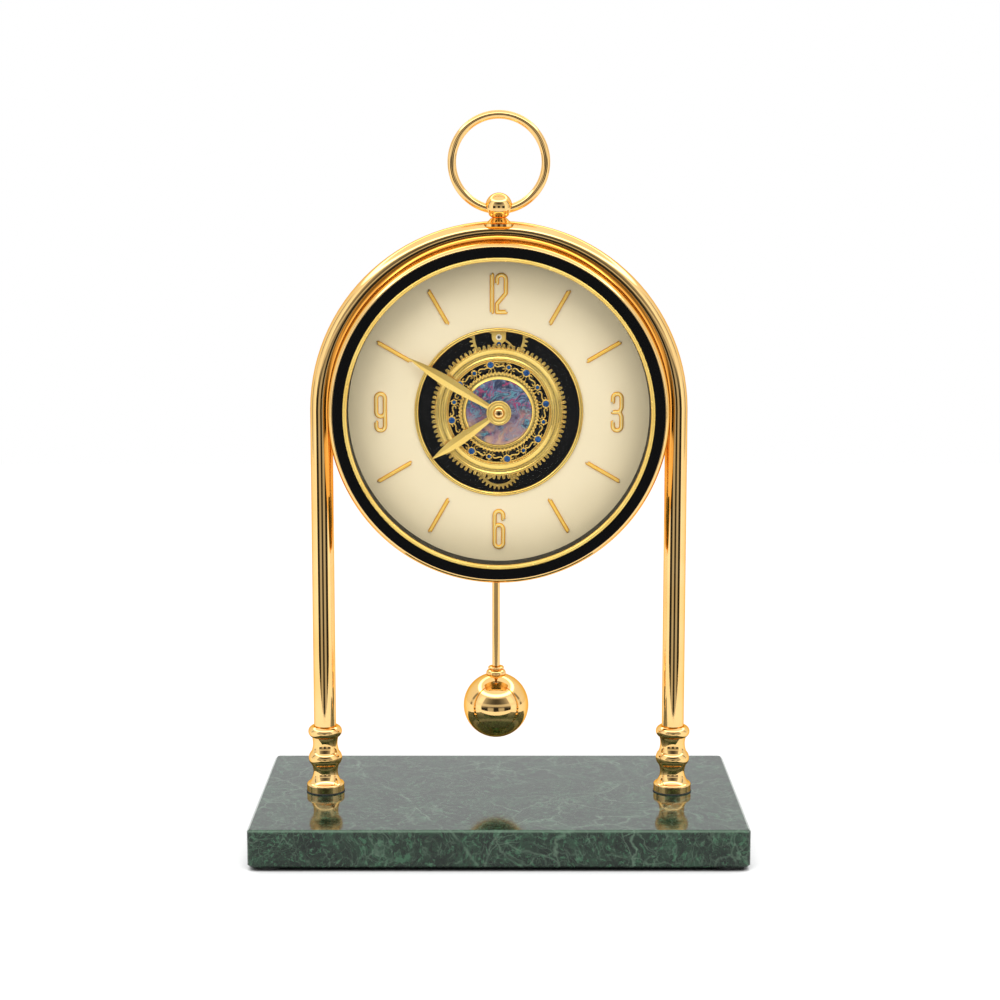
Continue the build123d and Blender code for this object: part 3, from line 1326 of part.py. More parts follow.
with BuildPart() as rear_screws:
    with BuildSketch(FACE.offset(DRUM_BACK)):
        with PolarLocations(REAR_SCREW_CIRCLE, REAR_SCREWS, 45):
            Circle(REAR_SCREW_HEAD_D / 2)
    extrude(amount=-REAR_SCREW_HEAD_H)
    with BuildSketch(FACE.offset(DRUM_BACK)):
        with PolarLocations(REAR_SCREW_CIRCLE, REAR_SCREWS, 45):
            Circle(REAR_SCREW_D / 2)
    extrude(amount=REAR_SCREW_LEN)
keep(rear_screws, "rear_screws")
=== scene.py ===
from functools import wraps
from math import cos, pi, radians, sin, tau

import bmesh
import bpy
from bpy.props import FloatProperty, FloatVectorProperty, IntProperty, PointerProperty
from mathutils import Matrix, Vector


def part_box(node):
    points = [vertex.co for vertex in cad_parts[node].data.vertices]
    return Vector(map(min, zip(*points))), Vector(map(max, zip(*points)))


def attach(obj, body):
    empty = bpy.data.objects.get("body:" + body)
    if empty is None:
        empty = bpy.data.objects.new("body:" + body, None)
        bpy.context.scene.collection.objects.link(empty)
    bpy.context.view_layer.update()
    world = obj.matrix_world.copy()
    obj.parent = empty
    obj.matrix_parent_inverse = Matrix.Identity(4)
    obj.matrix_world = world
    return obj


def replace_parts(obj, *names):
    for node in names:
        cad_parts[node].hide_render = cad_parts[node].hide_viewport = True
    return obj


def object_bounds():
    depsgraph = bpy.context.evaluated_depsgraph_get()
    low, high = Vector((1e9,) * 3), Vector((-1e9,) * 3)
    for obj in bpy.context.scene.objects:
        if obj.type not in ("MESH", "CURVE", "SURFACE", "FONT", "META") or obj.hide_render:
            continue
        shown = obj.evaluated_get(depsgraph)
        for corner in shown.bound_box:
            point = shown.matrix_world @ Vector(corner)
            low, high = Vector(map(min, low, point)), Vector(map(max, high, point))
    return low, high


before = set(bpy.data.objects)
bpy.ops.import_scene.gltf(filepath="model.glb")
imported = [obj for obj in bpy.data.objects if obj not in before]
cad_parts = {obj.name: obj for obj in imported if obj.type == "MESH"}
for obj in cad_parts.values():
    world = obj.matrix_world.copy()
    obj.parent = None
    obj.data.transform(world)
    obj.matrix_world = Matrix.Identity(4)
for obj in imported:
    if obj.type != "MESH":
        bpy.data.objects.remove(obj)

bl_info = {
    "name": "Desk Pendulum Clock",
    "version": (1, 0, 0),
    "blender": (4, 5, 0),
    "location": "3D View > Sidebar > Clock",
    "description": "Dresses the desk pendulum clock with its finishes, fine pieces and studio",
    "category": "Object",
}

CAD_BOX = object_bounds()
MM = 0.001


def middle(name):
    """The middle of a node's box."""
    low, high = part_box(name)
    return (Vector(low) + Vector(high)) / 2


def front_of(name):
    """How far a node's front face stands before the clock's middle plane."""
    return -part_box(name)[0][1]


def back_of(name):
    """How far a node's back face stands before the clock's middle plane."""
    return -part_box(name)[1][1]


def half_width(name):
    """Half of a node's width across the clock."""
    low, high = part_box(name)
    return (high[0] - low[0]) / 2


CENTRE = middle("ring_gear")
CENTRE.y = 0.0
SLAB_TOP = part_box("marble_base")[1][2]


# Sizes and colours that a user would change
def colour(label, hint, default):
    """A colour property."""
    return FloatVectorProperty(
        name=label, description=hint, subtype="COLOR", size=3, min=0.0, max=1.0, default=default
    )


def length(label, hint, default):
    """A length property in metres."""
    return FloatProperty(name=label, description=hint, subtype="DISTANCE", unit="LENGTH", default=default)


class ClockColours(bpy.types.PropertyGroup):
    """Colours of the clock's finishes"""

    gold: colour("Gold", "Gold plate where it is brightest", (0.98, 0.66, 0.28))
    deep_gold: colour("Deep gold", "Gold plate in its warmer clouds", (0.95, 0.6, 0.22))
    satin: colour("Satin gold", "Gold of the small satin pieces", (0.97, 0.72, 0.21))
    deep_satin: colour("Deep satin gold", "Satin gold in its warmer clouds", (0.9, 0.6, 0.14))
    # painted shade of the figures low down by the dial
    figure_painted_shade: colour("Figure foot", "Painted shade of the figures where they meet the dial", (0.62, 0.25, 0.004))
    figure: colour("Figures", "Gold of the batons and figures", (0.98, 0.58, 0.07))
    # painted highlight along the top of the figures
    figure_painted_highlight: colour("Figure ridge", "Painted highlight along the top of the figures", (1.0, 0.86, 0.45))
    gold_edge: colour("Gold edge", "Tint of the gold plate seen at a grazing angle", (0.86, 0.52, 0.2))
    brass: colour("Brass", "Plain turned brass", (0.66, 0.47, 0.19))
    steel: colour("Steel", "Screws, pins and contacts", (0.58, 0.58, 0.57))
    dial: colour("Dial", "Cream lacquer of the dial", (0.74, 0.64, 0.43))
    # dial_shade serves the lacquer's random clouds and the painted shade toward the rim
    dial_shade: colour("Dial shade", "Cream lacquer in its clouds and in the painted shade toward the rim", (0.6, 0.5, 0.29))
    enamel: colour("Enamel", "Black enamel of the bezel ring and the well", (0.003, 0.003, 0.003))
    wall: colour("Dial wall", "Dark olive wall between the dial and the glass", (0.016, 0.014, 0.009))
    stone_dark: colour("Stone, dark", "Darkest green of the marble", (0.0014, 0.006, 0.0032))
    stone_mid: colour("Stone, middle", "Main green of the marble", (0.0064, 0.0178, 0.0096))
    # the vein colour also gives the painted highlight along the slab's upper edges
    stone_vein_and_edge_highlight: colour("Stone, veins", "Pale veins of the marble", (0.12, 0.19, 0.132))
    jewel: colour("Jewels", "Blue stones", (0.003, 0.03, 0.12))
    shell_navy: colour("Shell navy", "Darkest bands of the shell disc", (0.025, 0.035, 0.08))
    shell_blue: colour("Shell blue", "Blue bands of the shell disc", (0.1, 0.13, 0.25))
    shell_teal: colour("Shell teal", "Teal bands of the shell disc", (0.13, 0.33, 0.4))
    shell_plum: colour("Shell plum", "Plum bands of the shell disc", (0.15, 0.07, 0.18))
    shell_rose: colour("Shell rose", "Rose lines of the shell disc", (0.36, 0.05, 0.14))
    shell_peach: colour("Shell peach", "Warm patches in the lower half of the shell disc", (0.58, 0.34, 0.21))
    rubber: colour("Rubber", "Pads under the slab", (0.012, 0.012, 0.012))
    plastic: colour("Plastic", "Movement housing and setting knob", (0.02, 0.02, 0.021))
    wrap: colour("Cell wrap", "Main colour of the cell", (0.5, 0.53, 0.52))
    wrap_band: colour("Cell band", "Band at the cell's positive end", (0.05, 0.24, 0.2))
    floor: colour("Floor", "Pale floor under the clock", (0.86, 0.86, 0.86))


class ClockSizes(bpy.types.PropertyGroup):
    """Sizes of the fine pieces"""

    stroke: length("Stroke", "Width of the numerals' strokes", 2.3 * MM)
    numeral_wide: length("Numeral width", "Width of one figure", 6.9 * MM)
    numeral_tall: length("Numeral height", "Height of one figure", 21.9 * MM)
    numeral_radius: length("Numeral radius", "Distance of the figures from the middle", 63.0 * MM)
    numeral_space: length("Numeral space", "Space between the two figures of twelve", 0.4 * MM)
    baton_in: length("Baton start", "Radius of the batons' inner ends", 53.5 * MM)
    baton_out: length("Baton end", "Radius of the batons' outer ends", 75.0 * MM)
    baton_width: length("Baton width", "Width of the batons", 2.2 * MM)
    jewel_pairs: IntProperty(
        name="Jewel pairs", description="Pairs of a large and a small jewel round the wheel", default=8
    )
    jewel_turn: FloatProperty(
        name="Jewel turn", description="Angle of the first large jewel", subtype="ANGLE", default=radians(-10)
    )
    large_radius: length("Large jewel place", "Distance of the large jewels from the middle", 25.5 * MM)
    large_jewel: length("Large jewel", "Width of the large jewels", 3.3 * MM)
    small_radius: length("Small jewel place", "Distance of the small jewels from the middle", 24.4 * MM)
    small_jewel: length("Small jewel", "Width of the small jewels", 1.9 * MM)
    setting_wall: length("Setting wall", "Wall of the jewels' settings", 0.6 * MM)
    screw_head: length("Screw head", "Width of the rear screws' heads", 4.8 * MM)
    screw_shank: length("Screw shank", "Thickness of the rear screws", 2.4 * MM)
    wire: length("Openwork wire", "Thickness of the scrolls", 0.72 * MM)
    scroll: length("Scroll", "Size of one S-shaped scroll", 2.9 * MM)
    grain: length("Grain", "Width of one grain of the granulated ring", 1.15 * MM)
    grains: IntProperty(name="Grains", description="Grains round the granulated ring", default=64)


class ClockStage(bpy.types.PropertyGroup):
    """Camera, floor and light"""

    camera_place: FloatVectorProperty(
        name="Camera", description="Place of the camera", subtype="TRANSLATION", unit="LENGTH",
        default=(0.0006, -1.146, 0.347),
    )
    camera_pitch: FloatProperty(
        name="Camera pitch", description="Tilt below the horizon", subtype="ANGLE", default=radians(8.14)
    )
    lens: FloatProperty(name="Lens", description="Focal length in millimetres", default=77.4)
    floor_front: length("Floor front", "Front edge of the floor", 0.27)
    floor_back: length("Floor back", "Back edge of the floor", 1.6)
    floor_side: length("Floor side", "Half of the floor's width", 1.8)
    front_power: FloatProperty(name="Front lamps", description="Watts of each front lamp", default=7.0)
    top_power: FloatProperty(name="Top lamp", description="Watts of the lamp overhead", default=5.0)


# Node helpers
def fill(target, inputs):
    """Give a node its inputs by name or number, as links or as plain values."""
    for name, value in inputs.items():
        socket = target.inputs[name]
        if isinstance(value, bpy.types.NodeSocket):
            target.id_data.links.new(value, socket)
        else:
            socket.default_value = value


def node(kind, inputs, tree=None, **settings):
    """Add a shader node, to the tree of the sockets that feed it unless another is given."""
    if tree is None:
        tree = next(value.id_data for value in inputs.values() if isinstance(value, bpy.types.NodeSocket))
    made = tree.nodes.new("ShaderNode" + kind)
    for name, value in settings.items():
        setattr(made, name, value)
    fill(made, inputs)
    return made


def sums(operation, first, second=0.0):
    """One step of arithmetic."""
    return node("Math", {0: first, 1: second}, operation=operation).outputs[0]


def vectors(operation, first, second):
    """One step of vector arithmetic."""
    return node("VectorMath", {0: first, 1: second}, operation=operation).outputs["Vector"]


def parts_of(vector):
    """The X, Y and Z of a vector."""
    return node("SeparateXYZ", {"Vector": vector}).outputs


def spread(value, low, high, start=0.0, end=1.0):
    """A value moved from one range to another and held inside it."""
    inputs = {"Value": value, "From Min": start, "From Max": end, "To Min": low, "To Max": high}
    return node("MapRange", inputs).outputs["Result"]


def tint(share, first, second):
    """Two colours mixed by a share."""
    inputs = {0: share, 6: rgba(first), 7: rgba(second)}
    return node("Mix", inputs, data_type="RGBA").outputs[2]


def rgba(value):
    """A colour with full cover, or a socket as it is."""
    if isinstance(value, bpy.types.NodeSocket):
        return value
    return (*value, 1.0)


def grey(level):
    """A neutral colour of one level."""
    return (level, level, level)


def ramp(share, stops):
    """A colour ramp through stops of place and colour."""
    made = node("ValToRGB", {"Fac": share})
    marks = made.color_ramp.elements
    while len(marks) < len(stops):
        marks.new(1.0)
    for mark, (place, shade) in zip(marks, stops):
        mark.position = place
        mark.color = (*shade, 1.0)
    return made.outputs["Color"]


def spot(tree):
    """The place on the piece, in metres."""
    return node("TexCoord", {}, tree).outputs["Object"]


def stretched(vector, scale):
    """A place stretched along the axes."""
    return node("Mapping", {"Vector": vector, "Scale": scale}).outputs["Vector"]


def noise(vector, scale, detail=2.0, roughness=0.5, distortion=0.0, output="Fac"):
    """Soft noise at a number of features to the metre."""
    inputs = {"Vector": vector, "Scale": scale, "Detail": detail}
    inputs |= {"Roughness": roughness, "Distortion": distortion}
    return node("TexNoise", inputs).outputs[output]


def pushed(place, scale, detail, amount):
    """A place pushed about by soft noise, so that a pattern on it is folded."""
    drift = noise(place, scale, detail, output="Color")
    return vectors("ADD", place, vectors("MULTIPLY", drift, grey(amount)))


def from_axis(vector, axis=CENTRE):
    """The distance from an axis that runs from front to back, in metres."""
    flat = vectors("MULTIPLY", vectors("SUBTRACT", vector, axis), (1, 0, 1))
    return node("VectorMath", {0: flat}, operation="LENGTH").outputs["Value"]


def turned_rings(place, scale, detail):
    """Fine rings round the clock's axis."""
    along = node("CombineXYZ", {"X": from_axis(place)}).outputs["Vector"]
    return noise(along, scale, detail, 0.6)


def from_edge(vector, name):
    """The distance from the upper edges of a block, in metres."""
    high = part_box(name)[1]
    parts = parts_of(vector)
    side = sums("SUBTRACT", high[0], sums("ABSOLUTE", parts["X"]))
    ends = sums("SUBTRACT", high[1], sums("ABSOLUTE", parts["Y"]))
    fall = sums("SUBTRACT", high[2], parts["Z"])
    return sums("MAXIMUM", fall, sums("MINIMUM", side, ends))


def from_sheet(vector, start, end, slope):
    """The level distance from a sloping sheet through two points of the slab's top, in metres."""
    run = (Vector(end) - Vector(start)).normalized()
    left = Vector((-run.y, run.x, slope))
    reach = node("VectorMath", {0: vector, 1: left}, operation="DOT_PRODUCT").outputs["Value"]
    return sums("SUBTRACT", reach, left.dot((*start, SLAB_TOP)))


def bump(height, strength, distance):
    """A normal raised by a height."""
    inputs = {"Height": height, "Strength": strength, "Distance": distance}
    return node("Bump", inputs).outputs["Normal"]


def new_material(name):
    """A material with its tree and its surface."""
    made = bpy.data.materials.new(name)
    made.use_nodes = True
    return made, made.node_tree, made.node_tree.nodes["Principled BSDF"]


def finish(recipe):
    """Turn a recipe of a surface's inputs into a function that gives the material, made once."""
    name = "clock_" + recipe.__name__

    @wraps(recipe)
    def give():
        made = bpy.data.materials.get(name)
        if made is None:
            made, tree, surface = new_material(name)
            fill(surface, recipe(spot(tree), bpy.context.scene.clock_colours))
        return made

    return give


# Finishes
def gold_plate(place, shades, pair, rough, metal=1.0):
    """Gold plate with warmer clouds, an orange edge and a range of gloss."""
    clouds = noise(place, 45.0, 3.0)
    haze = noise(place, 350.0, 3.0, 0.6)
    return {
        "Base Color": tint(spread(clouds, 0.0, 1.0, 0.3, 0.7), *pair),
        "Metallic": metal,
        "Roughness": spread(haze, *rough, 0.3, 0.7),
        "Specular Tint": rgba(shades.gold_edge),
    }


@finish
def polished_gold(place, shades):
    """Mirror polished gold plate."""
    return gold_plate(place, shades, (shades.gold, shades.deep_gold), (0.035, 0.08))


@finish
def satin_gold(place, shades):
    """Softly polished gold plate of the small pieces."""
    return gold_plate(place, shades, (shades.satin, shades.deep_satin), (0.1, 0.18), 0.82)


@finish
def hand_gold(place, shades):
    """Satin gilding of the two hands."""
    return gold_plate(place, shades, (shades.satin, shades.deep_satin), (0.2, 0.23), 0.72)


@finish
def soft_gold(place, shades):
    """Gilded matt plate of the sight ring, the wheels and the cock."""
    return gold_plate(place, shades, (shades.satin, shades.deep_satin), (0.23, 0.28), 0.55)


@finish
def figure_gold(place, shades):
    """Gold of the batons and figures, with painted shade down by the dial and a painted highlight along the
    top.
    """
    plate = gold_plate(place, shades, (shades.figure, shades.deep_satin), (0.1, 0.15), 0.45)
    front = sums("MULTIPLY", parts_of(place)["Y"], -1.0)
    height = sums("SUBTRACT", front, front_of("dial_plate"))
    # painted shade: darker colour low on the strokes, by the dial
    foot = spread(height, 0.95, 0.0, 0.5 * MM, 1.05 * MM)
    # painted highlight: pale colour along the top of the strokes
    ridge = spread(height, 0.0, 0.8, 1.06 * MM, 1.14 * MM)
    body = tint(foot, plate["Base Color"], shades.figure_painted_shade)
    plate["Base Color"] = tint(ridge, body, shades.figure_painted_highlight)
    return plate


@finish
def turned_gold(place, shades):
    """Gold plate with fine rings left by the lathe."""
    plate = gold_plate(place, shades, (shades.satin, shades.deep_satin), (0.16, 0.26), 0.82)
    plate["Normal"] = bump(turned_rings(place, 1100.0, 2.0), 0.3, 0.05 * MM)
    return plate


@finish
def brushed_gold(place, shades):
    """Gold plate brushed round the drum."""
    plate = gold_plate(place, shades, (shades.gold, shades.deep_gold), (0.24, 0.36))
    lines = noise(stretched(place, (20.0, 3000.0, 20.0)), 1.0, 3.0, 0.6)
    plate["Normal"] = bump(lines, 0.12, 0.1 * MM)
    return plate


@finish
def plain_brass(place, shades):
    """Turned brass with a trace of tarnish."""
    tarnish = spread(noise(place, 160.0, 5.0, 0.6), 0.0, 0.6, 0.45, 0.8)
    return {
        "Base Color": tint(tarnish, shades.brass, (0.3, 0.18, 0.07)),
        "Metallic": 1.0,
        "Roughness": spread(tarnish, 0.24, 0.45, 0.0, 0.6),
    }


@finish
def bright_steel(place, shades):
    """Plain steel with a fine grain."""
    grain = noise(stretched(place, (500.0, 4000.0, 500.0)), 1.0, 3.0)
    return {
        "Base Color": tint(grain, shades.steel, (0.44, 0.44, 0.44)),
        "Metallic": 1.0,
        "Roughness": spread(grain, 0.2, 0.36),
    }


@finish
def blackened_steel(place, shades):
    """Satin black metal with worn specks."""
    grain = noise(place, 2200.0, 4.0, 0.7)
    wear_and_edge_highlight = spread(grain, 0.0, 1.0, 0.55, 0.8)
    return {
        "Base Color": tint(wear_and_edge_highlight, grey(0.012), (0.05, 0.045, 0.04)),
        "Metallic": 0.6,
        "Roughness": spread(grain, 0.34, 0.52, 0.3, 0.7),
        "Normal": bump(grain, 0.12, 0.08 * MM),
    }


@finish
def spun_black(place, shades):
    """Black lacquered sheet with the rings left by spinning."""
    lines = turned_rings(place, 700.0, 3.0)
    clouds = spread(noise(place, 40.0, 4.0), 0.3, 1.0, 0.3, 0.7)
    wear_and_edge_highlight = sums("MULTIPLY", spread(lines, 0.0, 1.0, 0.4, 0.7), clouds)
    return {
        "Base Color": tint(wear_and_edge_highlight, grey(0.008), grey(0.035)),
        "Metallic": 0.5,
        "Roughness": spread(wear_and_edge_highlight, 0.24, 0.4),
        "Normal": bump(lines, 0.3, 0.05 * MM),
    }


@finish
def black_enamel(place, shades):
    """Gloss black enamel with a faint orange peel."""
    peel = noise(place, 420.0, 2.0)
    dust = spread(noise(place, 1800.0, 4.0, 0.7), 0.0, 1.0, 0.6, 0.9)
    return {
        "Base Color": tint(dust, shades.enamel, grey(0.009)),
        "Roughness": spread(dust, 0.15, 0.22),
        "Specular IOR Level": 0.35,
        "Normal": bump(peel, 0.05, 0.2 * MM),
    }


@finish
def dial_wall(place, shades):
    """Dark olive paint of the wall round the dial."""
    grain = noise(place, 900.0, 4.0, 0.6)
    return {
        "Base Color": tint(grain, shades.wall, (0.008, 0.007, 0.005)),
        "Roughness": spread(grain, 0.5, 0.65),
        "Specular IOR Level": 0.15,
    }


@finish
def cream_dial(place, shades):
    """Cream satin lacquer with a silky grain and random clouds, darkened toward the rim by painted shade."""
    silk = noise(place, 3200.0, 3.0, 0.6)
    clouds = noise(place, 30.0, 2.0)
    # painted shade: the dial is darkened toward its rim, as though shaded by the bezel wall
    rim = spread(from_axis(place), 0.0, 0.6, 58.0 * MM, 84.0 * MM)
    # random clouds plus the painted rim shade
    deep = sums("ADD", spread(clouds, 0.0, 0.16, 0.3, 0.7), rim)
    return {
        "Base Color": tint(deep, shades.dial, shades.dial_shade),
        "Roughness": spread(silk, 0.36, 0.5),
        "Normal": bump(silk, 0.04, 0.05 * MM),
    }


# Two long veins of the marble, each by two points of the slab's top and its slope
LEFT_VEIN = ((-13.0 * MM, -57.0 * MM), (-50.0 * MM, 30.0 * MM), -0.7)
RIGHT_VEIN = ((72.0 * MM, 22.0 * MM), (16.0 * MM, -54.0 * MM), -0.5)


@finish
def green_marble(place, shades):
    """Polished green marble: crushed grain, a web of pale veins, a dark wedge between two long ones and a
    painted highlight along the upper edges.
    """
    bent = pushed(place, 22.0, 6.0, 0.045)
    mid = Vector(shades.stone_mid)
    clouds = noise(bent, 64.0, 9.0, 0.7)
    body = ramp(clouds, ((0.32, shades.stone_dark), (0.5, mid), (0.66, mid * 2.6)))
    eased = pushed(place, 22.0, 6.0, 0.02)
    gaps = [from_sheet(eased, *vein) for vein in (LEFT_VEIN, RIGHT_VEIN)]
    wedge = spread(sums("MINIMUM", *gaps), 0.0, 0.85, -1.0 * MM, 2.0 * MM)
    body = tint(wedge, body, shades.stone_dark)
    grain = noise(bent, 420.0, 5.0, 0.7)
    body = tint(spread(grain, 0.0, 0.85, 0.52, 0.6), body, shades.stone_dark)
    flecks = noise(bent, 330.0, 5.0, 0.7)
    body = tint(spread(flecks, 0.0, 0.7, 0.54, 0.62), body, mid * 6.0)
    for scale, width, cover in ((24.0, 0.02, 0.5), (90.0, 0.05, 0.4), (260.0, 0.09, 0.25)):
        cells = {"Vector": bent, "Scale": scale}
        crack = node("TexVoronoi", cells, feature="DISTANCE_TO_EDGE").outputs["Distance"]
        line = spread(crack, cover, 0.0, 0.0, width)
        patch = spread(noise(place, scale * 0.7, 3.0), 0.0, 1.0, 0.42, 0.62)
        body = tint(sums("MULTIPLY", line, patch), body, shades.stone_vein_and_edge_highlight)
    broken = spread(noise(place, 60.0, 4.0), 0.1, 1.0, 0.4, 0.62)
    for gap in gaps:
        line = spread(sums("ABSOLUTE", gap), 0.55, 0.0, 0.2 * MM, 1.1 * MM)
        body = tint(sums("MULTIPLY", line, broken), body, shades.stone_vein_and_edge_highlight)
    # painted highlight: a pale band along the slab's upper edges
    wear_and_edge_highlight = spread(from_edge(place, "marble_base"), 0.75, 0.0, 0.5 * MM, 1.5 * MM)
    return {
        "Base Color": tint(wear_and_edge_highlight, body, shades.stone_vein_and_edge_highlight),
        "Roughness": spread(grain, 0.06, 0.13),
        "IOR": 1.42,
    }


@finish
def black_rubber(place, shades):
    """Matt rubber with a moulded grain."""
    grain = noise(place, 1800.0, 4.0, 0.7)
    return {
        "Base Color": tint(grain, shades.rubber, grey(0.03)),
        "Roughness": spread(grain, 0.6, 0.85),
        "Normal": bump(grain, 0.3, 0.1 * MM),
    }


@finish
def blue_stone(place, shades):
    """Cut blue stone with a lighter heart."""
    heart = noise(place, 700.0, 2.0)
    light = spread(heart, 0.0, 1.0, 0.35, 0.7)
    return {
        "Base Color": tint(light, shades.jewel, (0.01, 0.085, 0.26)),
        "Roughness": spread(heart, 0.06, 0.12),
        "IOR": 1.5,
    }


@finish
def bearing_stone(place, shades):
    """Pale polished bearing, with painted shade for the hole in its middle."""
    # painted shade: a dark disc where the pivot hole sits
    painted_hole_shade = spread(from_axis(place, middle("cock_jewel")), 1.0, 0.0, 0.5 * MM, 0.7 * MM)
    haze = noise(place, 900.0, 3.0)
    stone = tint(haze, (0.72, 0.68, 0.55), (0.6, 0.55, 0.42))
    return {
        "Base Color": tint(painted_hole_shade, stone, grey(0.01)),
        "Roughness": spread(haze, 0.08, 0.16),
    }


@finish
def shell(place, shades):
    """Iridescent shell in folded bands of blue, teal, plum and rose, warmer in its lower half."""
    bent = pushed(place, 120.0, 4.0, 0.012)
    tilt = {"Vector": bent, "Rotation": (0.0, radians(40), 0.0)}
    slant = node("Mapping", tilt).outputs["Vector"]
    bands = noise(stretched(slant, (1.0, 1.0, 2.2)), 80.0, 4.0, 0.52, 1.0)
    body = ramp(bands, (
        (0.3, shades.shell_plum),
        (0.37, shades.shell_navy),
        (0.42, shades.shell_teal),
        (0.46, shades.shell_navy),
        (0.5, shades.shell_blue),
        (0.53, shades.shell_plum),
        (0.56, shades.shell_teal),
        (0.6, shades.shell_blue),
        (0.66, shades.shell_navy),
    ))
    off_line = sums("ABSOLUTE", sums("SUBTRACT", noise(bent, 110.0, 2.0), 0.5))
    body = tint(spread(off_line, 0.9, 0.0, 0.005, 0.02), body, shades.shell_rose)
    low = spread(parts_of(bent)["Z"], 0.9, 0.0, CENTRE.z - 4.0 * MM, CENTRE.z + 9.0 * MM)
    patches = spread(noise(bent, 150.0, 4.0), 0.0, 1.0, 0.37, 0.53)
    mauve = tint(spread(bands, 0.0, 1.0, 0.42, 0.6), shades.shell_peach, (0.34, 0.2, 0.23))
    body = tint(sums("MULTIPLY", low, patches), body, mauve)
    ripple = noise(stretched(slant, (1.0, 1.0, 3.0)), 420.0, 4.0, 0.6, 1.0)
    streak = spread(ripple, 0.0, 0.45, 0.58, 0.7)
    return {
        "Base Color": tint(streak, body, (0.55, 0.56, 0.56)),
        "Metallic": 0.2,
        "Roughness": spread(ripple, 0.2, 0.4),
        "Coat Weight": 0.5,
        "Coat Roughness": 0.08,
        "Normal": bump(bands, 0.1, 0.3 * MM),
    }


@finish
def clear_glass(place, shades):
    """Thin clear glass with faint smears."""
    smear = noise(place, 60.0, 4.0, 0.6)
    return {
        "Base Color": tint(smear, (0.96, 0.98, 0.97), (0.9, 0.94, 0.92)),
        "Roughness": spread(smear, 0.02, 0.06),
        "IOR": 1.45,
        "Alpha": 0.004,
    }


@finish
def black_plastic(place, shades):
    """Moulded black plastic with a spark eroded grain."""
    grain = noise(place, 2400.0, 3.0, 0.6)
    return {
        "Base Color": tint(grain, shades.plastic, grey(0.035)),
        "Roughness": spread(grain, 0.42, 0.6),
        "Normal": bump(grain, 0.25, 0.08 * MM),
    }


@finish
def cell_wrap(place, shades):
    """Grey shrink wrap of the cell with a coloured band at its positive end."""
    low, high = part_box("battery")
    height = parts_of(place)["Z"]
    half = (high[2] - low[2]) / 2
    band_low = low[2] + 1.4 * half
    band = spread(height, 0.0, 1.0, band_low, band_low + 0.2 * MM)
    film = noise(place, 300.0, 4.0, 0.6)
    body = tint(band, shades.wrap, shades.wrap_band)
    body = tint(spread(film, 0.0, 0.35), body, grey(0.2))
    from_middle = sums("ABSOLUTE", sums("SUBTRACT", height, low[2] + half))
    bare = spread(from_middle, 0.0, 1.0, half - 1.2 * MM, half - 1.1 * MM)
    return {
        "Base Color": tint(bare, body, shades.steel),
        "Metallic": bare,
        "Roughness": spread(film, 0.22, 0.38),
    }


# Mesh helpers
def dress(material, *names):
    """Give CAD nodes a finish."""
    for name in names:
        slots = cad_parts[name].data.materials
        slots.clear()
        slots.append(material)


def soften(width, *names):
    """Break the edges of CAD nodes, so that they catch the light."""
    for name in names:
        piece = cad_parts[name]
        weld = piece.modifiers.new("weld", "WELD")
        weld.merge_threshold = 0.002 * MM
        edge = piece.modifiers.new("soft_edges", "BEVEL")
        edge.width = width
        edge.segments = 2
        edge.limit_method = "ANGLE"
        edge.angle_limit = radians(35)
        even = piece.modifiers.new("even_normals", "WEIGHTED_NORMAL")
        even.keep_sharp = False


def round_point(point, start=0.0):
    """A function of reach, turn and front that gives places round a point, clockwise from twelve."""
    def place(reach, turn, front):
        at = turn + start
        return point + Vector((reach * sin(at), -front, reach * cos(at)))

    return place


on_face = round_point(CENTRE)


def put(name, data):
    """Put a new object into the scene."""
    made = bpy.data.objects.new(name, data)
    bpy.context.scene.collection.objects.link(made)
    return made


def add_piece(name, mesh, material, body, sharp=radians(35)):
    """Put a finished mesh into the scene and hang it on its body."""
    made = bpy.data.meshes.new(name)
    bmesh.ops.recalc_face_normals(mesh, faces=mesh.faces)
    mesh.to_mesh(made)
    mesh.free()
    made.polygons.foreach_set("use_smooth", [True] * len(made.polygons))
    made.set_sharp_from_angle(angle=sharp)
    made.materials.append(material)
    piece = put(name, made)
    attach(piece, body)
    return piece


def bridge(mesh, here, there, closed=True):
    """Faces between two rows of points."""
    count = len(here)
    for number in range(count if closed else count - 1):
        after = (number + 1) % count
        mesh.faces.new((here[number], here[after], there[after], there[number]))


def lathe(mesh, outline, steps, turn_at=on_face):
    """Turn a closed outline of radius and front about an axis, the clock's own unless another is given."""
    rings = []
    for step in range(steps):
        angle = tau * step / steps
        rings.append([mesh.verts.new(turn_at(radius, angle, front)) for radius, front in outline])
    for step in range(steps):
        bridge(mesh, rings[step], rings[(step + 1) % steps])


def grain(mesh, place, radius):
    """One soldered grain."""
    bmesh.ops.create_icosphere(mesh, subdivisions=2, radius=radius, matrix=Matrix.Translation(place))


